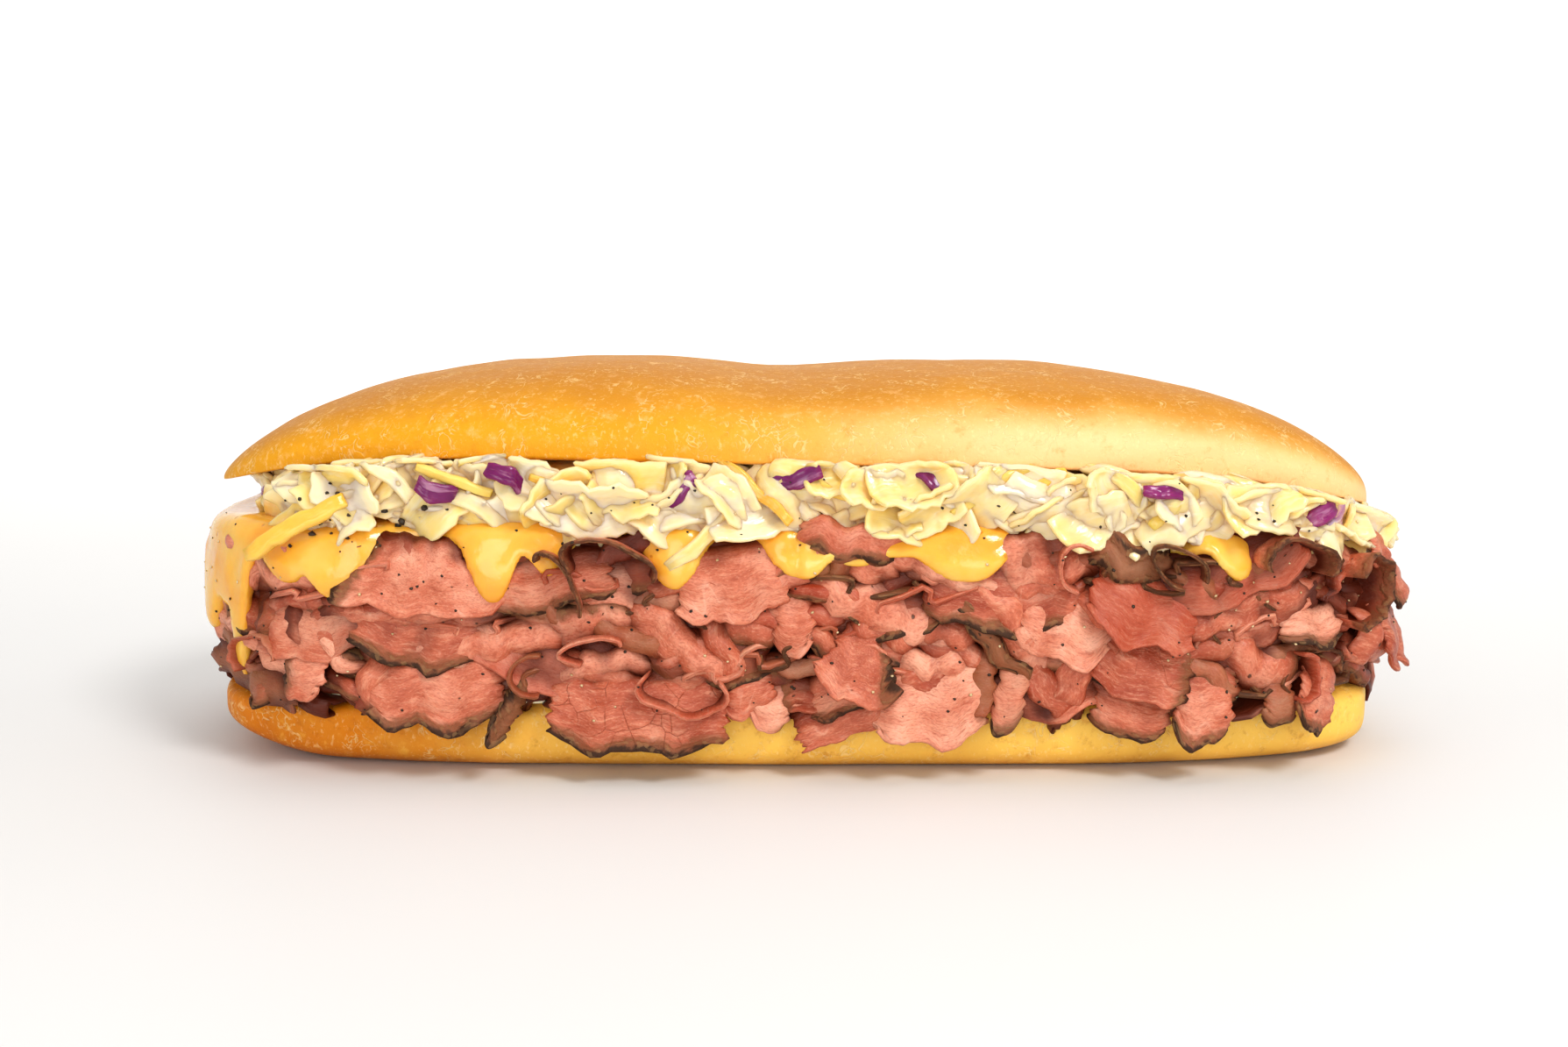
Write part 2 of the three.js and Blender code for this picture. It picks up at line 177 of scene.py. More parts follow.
def add_layer(name, half, width, low, mid, high, plan, above, below, around, along, ends=(0.5, 0.5)):
    """A rounded layer in millimetres: a round ball drawn out along X between heights that change along it.

    Edge powers under 1 make its plan, the rim above or the rim below squarer, and ends says how much its
    left and right end taper. Gives the object, its points and how far each lies up the side, from -1 to 1.
    """
    bpy.ops.object.select_all(action="DESELECT")
    bpy.ops.mesh.primitive_uv_sphere_add(segments=around, ring_count=along, radius=1.0)
    piece = bpy.context.object
    piece.name = name
    piece.data.name = name
    ball = np.empty(len(piece.data.vertices) * 3)
    piece.data.vertices.foreach_get("co", ball)
    ball = ball.reshape(-1, 3)
    ring = np.hypot(ball[:, 0], ball[:, 1])
    safe = np.maximum(ring, 1e-6)
    sideways = ball[:, 0] / safe
    upward = ball[:, 1] / safe
    x = half * signed_power(ball[:, 2], plan)
    narrowing = ring ** plan
    power = np.where(upward > 0, above, below)
    reach = np.where(upward > 0, high(x) - mid(x), mid(x) - low(x))
    y = width * narrowing * signed_power(sideways, power)
    z = mid(x) + reach * narrowing ** np.where(x < 0, *ends) * signed_power(upward, power)
    return piece, np.stack([x, y, z], axis=1), upward


def set_points(piece, points):
    piece.data.vertices.foreach_set("co", (points * MM).astype(np.float32).ravel())
    piece.data.update()
    bpy.ops.object.select_all(action="DESELECT")
    piece.select_set(True)
    bpy.context.view_layer.objects.active = piece
    bpy.ops.object.shade_smooth()


def set_mark(piece, name, values):
    mark = piece.data.attributes.new(name, "FLOAT", "POINT")
    mark.data.foreach_set("value", np.asarray(values, np.float32))


def seat(piece, node=None):
    """Fixes a finished piece to the sandwich's root body and hides the solid that it stands for."""
    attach(piece, "root")
    if node:
        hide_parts(node)


def crust(name, deep, golden, pale, pale_from, pale_to, pale_height):
    """Baked crust: golden, browner where high, pale low on one side, partly floury and partly painted light,
    with light wrinkles.
    """
    mix = Recipe(name)
    place = mix.place()
    along = mix.node("ShaderNodeSeparateXYZ", {}, {0: place}, "X")
    rise = mix.mark("rise")
    blotch = mix.cloud(place, 40.0, 4.0)
    mottle = mix.cloud(place, 330.0, 5.0, 0.7)
    flour = mix.cloud(mix.stretch(place, (1.0, 1.0, 0.6)), 1100.0, 3.0, 0.7)
    browned = mix.step(rise + (blotch - 0.5) * 0.9, 0.1, 1.0)
    colour = mix.mix(browned, golden, deep)
    side = mix.step(along + (blotch - 0.5) * 0.06, pale_from, pale_to)
    # Painted light in part: the low side towards the lamps on the right is paled beyond its floury colour.
    floury_and_lit_side = side * (1.0 - mix.step(rise + (blotch - 0.5) * 0.4, pale_height * 0.2, pale_height))
    colour = mix.mix(floury_and_lit_side * 0.92, colour, pale)
    colour = mix.mix(mix.step(mottle, 0.52, 0.75) * 0.34, colour, pale)
    colour = mix.mix(mix.step(mottle, 0.48, 0.26) * 0.4, colour, deep)
    squiggle = (mix.cloud(place, 260.0, 2.5, 0.6, 0.8) - 0.5).size()
    wrinkle = (1.0 - mix.step(squiggle, 0.006, 0.024)) * mix.step(mix.cloud(place, 150.0, 2.0), 0.5, 0.6)
    colour = mix.mix(wrinkle * 0.45, colour, (1.0, 0.74, 0.36))
    colour = mix.mix(mix.step(flour, 0.56, 0.7) * 0.34, colour, (1.0, 0.74, 0.36))
    height = mottle * 0.6 - wrinkle * 0.4 + blotch + flour * 0.25
    crumb = 1.0 - mix.step(rise + (mottle - 0.5) * 0.2, -0.5, -0.25)
    colour = mix.mix(crumb * 0.9, colour, (0.8, 0.5, 0.2))
    rough = mix.step(mottle, 0.2, 0.8, 0.42, 0.6)
    return mix.finish(
        colour, rough, height, 0.0007, 0.5,
        Specular_IOR_Level=0.24, Subsurface_Weight=0.06, Subsurface_Scale=0.002,
    )


HEEL_WIDEST = 9.5
LEFT_ROUND_START = -88.0
LEFT_ROUND_LENGTH = 28.0
LEFT_ROUND_HEIGHT = 7.0


def heel_underside(x):
    past = np.clip((LEFT_ROUND_START - x) / LEFT_ROUND_LENGTH, 0.0, 1.0)
    return LEFT_ROUND_HEIGHT * past ** 2 - 1.2


heel, heel_points, heel_up = add_layer(
    "bottom_roll", ROLL_HALF - 0.5, HEEL_HALF_WIDTH,
    low=heel_underside, mid=lambda x: np.full_like(x, HEEL_WIDEST),
    high=lambda x: np.full_like(x, HEEL_HEIGHT), plan=0.5, above=0.45, below=0.45, around=160, along=140,
)
swell = 0.7 * wander(heel_points, 34.0, 1) + 0.3 * wander(heel_points, 11.0, 2)
heel_points[:, 1] += swell * np.sign(heel_points[:, 1]) * (np.abs(heel_up) < 0.9)
heel_points[:, 2] = np.maximum(heel_points[:, 2], 0.0)
set_points(heel, heel_points)
set_mark(heel, "rise", 0.75 - heel_points[:, 2] / (1.1 * HEEL_HEIGHT))
# Painted light: the pale colour of the right side is brightened in place of light that the overhanging
# filling keeps from it.
heel.data.materials.append(
    crust("bottom_crust", (0.4, 0.085, 0.001), (0.72, 0.23, 0.003), (1.0, 0.64, 0.13), -0.1, -0.03, 1.15)
)
seat(heel, "bottom_bun")

# Mayonnaise
# A spread of mayonnaise on the lower half of the roll, squeezed by the filling so that it swells past
# the cut edge here and there. It is smooth, off-white and moist.
mayo_low, mayo_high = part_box("mayonnaise")
spread, spread_points, spread_up = add_layer(
    "mayonnaise_spread", ROLL_HALF - 4.0, HEEL_HALF_WIDTH - 0.5,
    low=lambda x: np.full_like(x, mayo_low.z / MM - 1.0),
    mid=lambda x: np.full_like(x, mayo_low.z / MM + 0.8),
    high=lambda x: np.full_like(x, mayo_high.z / MM + 0.6), plan=0.5, above=0.5, below=0.5,
    around=96, along=160,
)
squeeze = wander(spread_points * (1.0, 1.0, 0.3), 13.0, 4)
spread_points[:, 1] += np.sign(spread_points[:, 1]) * (2.0 * squeeze + 1.5)
spread_points[:, 2] += 0.7 * wander(spread_points, 9.0, 5)
set_points(spread, spread_points)
mix = Recipe("mayonnaise")
spot = mix.cloud(mix.place(), 160.0, 3.0)
mayo_colour = mix.ramp(spot, [(0.3, (0.86, 0.74, 0.5)), (0.65, (0.93, 0.87, 0.7))])
spread.data.materials.append(
    mix.finish(mayo_colour, 0.3, spot, 0.0008, 0.4, Subsurface_Weight=0.3, Subsurface_Scale=0.003)
)
seat(spread, "mayonnaise")

# Roast beef
# Shaved slices of roast beef, cut about as thin as card, are folded, rolled and draped into a deep heap.
# Each is pink in the middle and has a dark peppered crust on the edge that was the outside of the joint.
WALL_HALF_WIDTH = 41.5
WALL_STRAIGHT = 76.0
WALL_END = math.pi * WALL_HALF_WIDTH
WALL_ROUND = 4.0 * WALL_STRAIGHT + 2.0 * WALL_END
BEEF_TOP = 46.0
CROWN_EDGE = 58.6
SLICE_THICKNESS = 1.0
SLICE_DEPTH = 13.0


def droop(x):
    """How far the upper layers sink towards the roll's ends, the right end a little more."""
    return 11.0 * np.abs(x / ROLL_HALF) ** 4.5 + 0.02 * x


def crown_edge(x):
    return CROWN_EDGE - droop(x)


def beef_top(x):
    return BEEF_TOP - 0.5 * droop(x)


def wall_at(s):
    """The point s millimetres round the filling's side from mid front, and the ways along and out."""
    whole = s % WALL_ROUND
    back = WALL_STRAIGHT + WALL_END / 2 < whole < WALL_ROUND - WALL_STRAIGHT - WALL_END / 2
    if back:
        near = whole - WALL_ROUND / 2
    else:
        near = whole - WALL_ROUND if whole > WALL_ROUND / 2 else whole
    past = math.copysign(max(0.0, abs(near) - WALL_STRAIGHT), near)
    turn = past / WALL_HALF_WIDTH
    reach = near - past + WALL_HALF_WIDTH * math.sin(turn)
    point = np.array([reach, -WALL_HALF_WIDTH * math.cos(turn), 0.0])
    along = np.array([math.cos(turn), math.sin(turn), 0.0])
    out = np.array([math.sin(turn), -math.cos(turn), 0.0])
    return (-point, -along, -out) if back else (point, along, out)


UP = np.array([0.0, 0.0, 1.0])


class Pile:
    """Many thin things gathered into one mesh, with a few numbers kept at each vertex."""

    def __init__(self):
        self.points = []
        self.faces = []
        self.marks = {}
        self.total = 0

    def add(self, points, faces, **marks):
        self.points.append(points)
        self.faces.append(faces + self.total)
        self.total += len(points)
        for name, values in marks.items():
            values = np.asarray(values, float)
            if values.ndim == 0:
                values = np.full(len(points), float(values))
            self.marks.setdefault(name, []).append(values)

    def piece(self, name, material=None):
        mesh = bpy.data.meshes.new(name)
        points = np.concatenate(self.points) * MM
        mesh.from_pydata(points.tolist(), [], np.concatenate(self.faces).tolist())
        for mark, parts in self.marks.items():
            values = np.concatenate(parts).astype(np.float32)
            if values.ndim == 1:
                mesh.attributes.new(mark, "FLOAT", "POINT").data.foreach_set("value", values)
            else:
                mesh.attributes.new(mark, "FLOAT_VECTOR", "POINT").data.foreach_set("vector", values.ravel())
        mesh.polygons.foreach_set("use_smooth", np.ones(len(mesh.polygons), bool))
        if material:
            mesh.materials.append(material)
        mesh.validate()
        mesh.update()
        made = bpy.data.objects.new(name, mesh)
        bpy.context.scene.collection.objects.link(made)
        return made


def thin_sheet(surface, thickness):
    """Closed mesh of even thickness on a grid of points: its vertices, upper face first, and quads."""
    across, down = surface.shape[:2]
    normal = np.cross(np.gradient(surface, axis=0), np.gradient(surface, axis=1))
    normal /= np.maximum(np.linalg.norm(normal, axis=2, keepdims=True), 1e-9)
    soft = np.ones((across, down))
    soft[[0, -1], :] = 0.35
    soft[:, [0, -1]] = 0.35
    offset = normal * (thickness * soft / 2)[:, :, None]
    points = np.concatenate([(surface + offset).reshape(-1, 3), (surface - offset).reshape(-1, 3)])
    grid = np.arange(across * down).reshape(across, down)
    under = across * down
    upper = np.stack([grid[:-1, :-1], grid[1:, :-1], grid[1:, 1:], grid[:-1, 1:]], axis=-1).reshape(-1, 4)
    rim = np.concatenate([grid[:, 0], grid[-1, 1:], grid[-2::-1, -1], grid[0, -2:0:-1]])
    ahead = np.roll(rim, -1)
    wall = np.stack([rim, rim + under, ahead + under, ahead], axis=-1)
    return points, np.concatenate([upper, upper[:, ::-1] + under, wall])


def stops(cells, start, end, rim):
    """Even steps with one narrow step at each rim, where the edge is rounded over."""
    return np.concatenate([[start], np.linspace(start + rim, end - rim, cells), [end]])


def waves(draw, distance, lengths, size):
    """A ragged line: a few seeded waves of the given lengths along a distance."""
    total = np.zeros_like(distance)
    for length in lengths:
        strength = size * draw.uniform(0.5, 1.0)
        total += strength * np.sin(math.tau * distance / length + draw.uniform(0, math.tau))
    return total / len(lengths) ** 0.5


def ridge_path(u, height):
    """A slice folded over so that a rounded ridge faces out, its two sides closing behind: out and rise."""
    bend = height / 2
    turn = np.pi * (np.clip(u, 0.3, 0.7) - 0.3) / 0.4
    limb = (np.maximum(0.0, 0.3 - u) + np.maximum(0.0, u - 0.7)) / 0.3
    return 0.6 * bend * (np.sin(turn) - 1.0) - SLICE_DEPTH * limb, bend * np.cos(turn) * (1.0 - 0.4 * limb)


def flap_path(u, height):
    """A slice that comes out over a rounded shoulder and hangs down: out and rise."""
    shoulder = min(3.0, height / 3)
    turn = np.clip((u - 0.3) / 0.2, 0.0, 1.0) * np.pi / 2
    hang = np.maximum(0.0, (u - 0.5) / 0.5)
    hidden = SLICE_DEPTH * np.maximum(0.0, 0.3 - u) / 0.3
    out = shoulder * (np.sin(turn) - 1.0) - hidden + 0.6 * np.sin(5.0 * hang)
    return out, height / 2 - shoulder * (1.0 - np.cos(turn)) - hang * (height - shoulder)


def edge_mark(distance, draw, along):
    """How crusted the meat is at that distance from a crusted edge, ragged along its length."""
    ragged = waves(draw, along, (3.1, 5.3, 1.9), 0.55) + waves(draw, along, (13.0, 19.0), 0.5)
    return np.clip(1.0 - (distance + ragged) / 4.4, 0.0, 1.0)


def ridge_shape(draw, u, v, span, height, taper=0.0, bow=0.0, tuck=3.0, ripple=1.0):
    """A fold whose rounded back faces out. Gives the slice's way across, up and out for steps u and v."""
    ends = np.abs(2.0 * v - 1.0)
    ragged = 1.0 + waves(draw, v * span, (3.3, 6.7), 0.03)
    out, rise = ridge_path(0.07 + 0.86 * u * ragged, height * (1.0 + taper * (2.0 * v - 1.0)))
    rise = rise + bow * (1.0 - ends ** 2) + waves(draw, v * span + 3.0 * u, (11.0, 17.0, 7.3), ripple)
    pleats = draw.uniform(14.0, 22.0) * u + 1.6 * np.sin(draw.uniform(2.0, 5.0) * v + height)
    out = out + waves(draw, v * span, (5.3, 8.7), 0.45) - tuck * ends ** 4 + 0.07 * height * np.sin(pleats)
    across = (v - 0.5) * span + waves(draw, u * 25.0, (2.7, 4.3, 8.9), 0.8) * ends ** 3
    return across, rise, out


def flap_shape(draw, u, v, span, height, flare=0.0, slope=0.2, tuck=1.4, ripple=1.0):
    """A slice that hangs down outside, with a torn lower edge, rounded corners and a rippled face."""
    ends = np.abs(2.0 * v - 1.0)
    start = 0.07
    u = start + (1.0 - start) * u
    hang = np.clip((u - 0.5) / 0.5, 0.0, 1.0)
    torn = waves(draw, v * span, (9.7, 14.0, 23.0), 0.11) + waves(draw, v * span, (2.1, 3.3, 4.9), 0.028)
    torn = torn - 0.3 * ends ** 4
    out, rise = flap_path(u + np.maximum(0.0, u - 0.5) * torn, height)
    sway = waves(draw, v * span + 4.0 * u, (7.1, 10.7, 16.3), ripple)
    curled = 1.6 * np.maximum(0.0, hang - 0.6) ** 2 * 6.0 * np.sin(2.4 * v + height)
    out = out + slope * hang * height + sway * (0.35 + 0.65 * hang) + curled - tuck * ends ** 4
    rise = rise + 0.5 * waves(draw, v * span, (8.3, 12.7), ripple)
    narrowing = 1.0 - flare * (1.0 - hang) if flare >= 0.0 else 1.0 + flare * hang
    across = (v - 0.5) * span * narrowing + waves(draw, u * 25.0, (2.7, 4.3, 8.9), 0.8) * ends ** 3
    return across, rise, out


def curl_shape(draw, u, v, span, height, sweep=250.0, lean=0.0):
    """A slice rolled into a loop seen from its end, opening over sweep degrees and narrowing inwards."""
    angle = math.radians(sweep) * u
    length = math.radians(sweep) * (span + height) / 4
    size = (1.0 - 0.3 * v) * (1.0 + 0.12 * waves(draw, u * length, (9.0, 14.0), 1.0))
    first = span / 2 * np.cos(angle) * size
    second = height / 2 * np.sin(angle) * size
    slant = math.radians(lean)
    out = 1.5 + waves(draw, u * length, (2.3, 3.7, 7.1), 0.5) * (1.0 - v) - (SLICE_DEPTH + 2.0) * v
    across = first * math.cos(slant) - second * math.sin(slant)
    return across, first * math.sin(slant) + second * math.cos(slant), out


def ruffle_shape(draw, u, v, span, height, folds=1.5, slope=0.4):
    """A slice lying flat in the heap that shows only its wavy edge."""
    turn = math.tau * folds * v + draw.uniform(0, math.tau)
    across = (v - 0.5) * span - 0.12 * span / folds * np.sin(2.0 * turn)
    rise = height / 2 * np.sin(turn) * (1.0 - 0.4 * u) + slope * u * 6.0
    rise = rise + waves(draw, v * span, (6.1, 4.3), 0.3)
    out = 1.0 + waves(draw, v * span, (2.3, 3.9, 7.7), 0.5) * (1.0 - u) - (SLICE_DEPTH + 1.0) * u
    return across, rise, out - 2.0 * np.abs(2.0 * v - 1.0) ** 4


SHAPES = {"ridge": ridge_shape, "flap": flap_shape, "curl": curl_shape, "ruffle": ruffle_shape}


def beef_slice(pile, draw, kind, s, z, turn, span, height, cells=(26, 18), lift=0.0, bark="",
               tone=0.2, red=0.0, crack=0.0, **form):
    """Adds one slice of a kind on the heap's side: span wide, height high and turned by turn degrees.

    lift moves it out of the heap, bark names its crusted edges, and tone, red and crack tell its looks; on a
    curl, red colours only the inner face, as painted shade inside the loop.
    """
    point, along, out = wall_at(s)
    rows, columns = cells
    rim = 0.018
    u = stops(rows, 0.0, 1.0, rim)[:, None]
    v = stops(columns, 0.0, 1.0, rim)[None, :]
    first, second, depth = np.broadcast_arrays(*SHAPES[kind](draw, u, v, span, height, **form))
    tilt = math.radians(turn)
    across = first * math.cos(tilt) - second * math.sin(tilt)
    rise = first * math.sin(tilt) + second * math.cos(tilt)
    length = SLICE_DEPTH + 1.4 * height
    grain = np.stack(np.broadcast_arrays(u * length, v * span, 0.0 * u * v + s), axis=-1)
    depth = depth + lift + waves(draw, grain[..., 0] + 0.6 * grain[..., 1], (6.7, 9.9), 0.14)
    depth = depth + waves(draw, grain[..., 1] - 0.5 * grain[..., 0], (5.9, 8.7), 0.14)
    edges = {
        "tip": (1.0 - u) * 1.8 * height + 0.0 * v,
        "front": (v if kind == "curl" else u) * SLICE_DEPTH + 0.0 * u * v,
        "left": v * span + 0.0 * u,
        "right": (1.0 - v) * span + 0.0 * u,
        "crest": np.abs(u - 0.36) * 30.0 + 0.0 * v,
        "keel": np.abs(u - 0.64) * 30.0 + 0.0 * v,
    }
    crusted = np.zeros(depth.shape)
    for edge in bark.split():
        crusted = np.maximum(crusted, edge_mark(edges[edge], draw, grain[..., 0] + grain[..., 1]))
    crusted = crusted * (0.85 if kind in ("curl", "ruffle") else 1.0)
    surface = point + across[..., None] * along + (z + rise)[..., None] * UP + depth[..., None] * out
    points, faces = thin_sheet(surface, SLICE_THICKNESS * (0.75 if kind == "curl" else 1.0))
    hue = draw.random()
    # Painted shade on a curl: red goes on its inner face only, darkening the inside of the loop. On other
    # slices red is the meat's own deeper red on both faces.
    inner = np.full(depth.size, red)
    outer = np.zeros(depth.size) if kind == "curl" else inner
    # Painted shade: deep grows the further a point lies inside the heap, and on a curl's inner face it grows
    # towards the inside of the loop.
    deep = np.clip((1.2 - depth.ravel()) / 5.0, 0.0, 1.0)
    shaded = np.clip(np.broadcast_to(1.6 * v, depth.shape).ravel(), 0.0, 1.0) if kind == "curl" else deep
    grains = np.concatenate([grain.reshape(-1, 3), grain.reshape(-1, 3) + (0.0, 0.0, 40.0)])
    pile.add(
        points, faces, bark=np.tile(crusted.ravel(), 2), tone=tone, red=np.concatenate([inner, outer]),
        crack=crack, hue=hue, deep=np.concatenate([shaded, deep]), grain=grains * MM,
    )


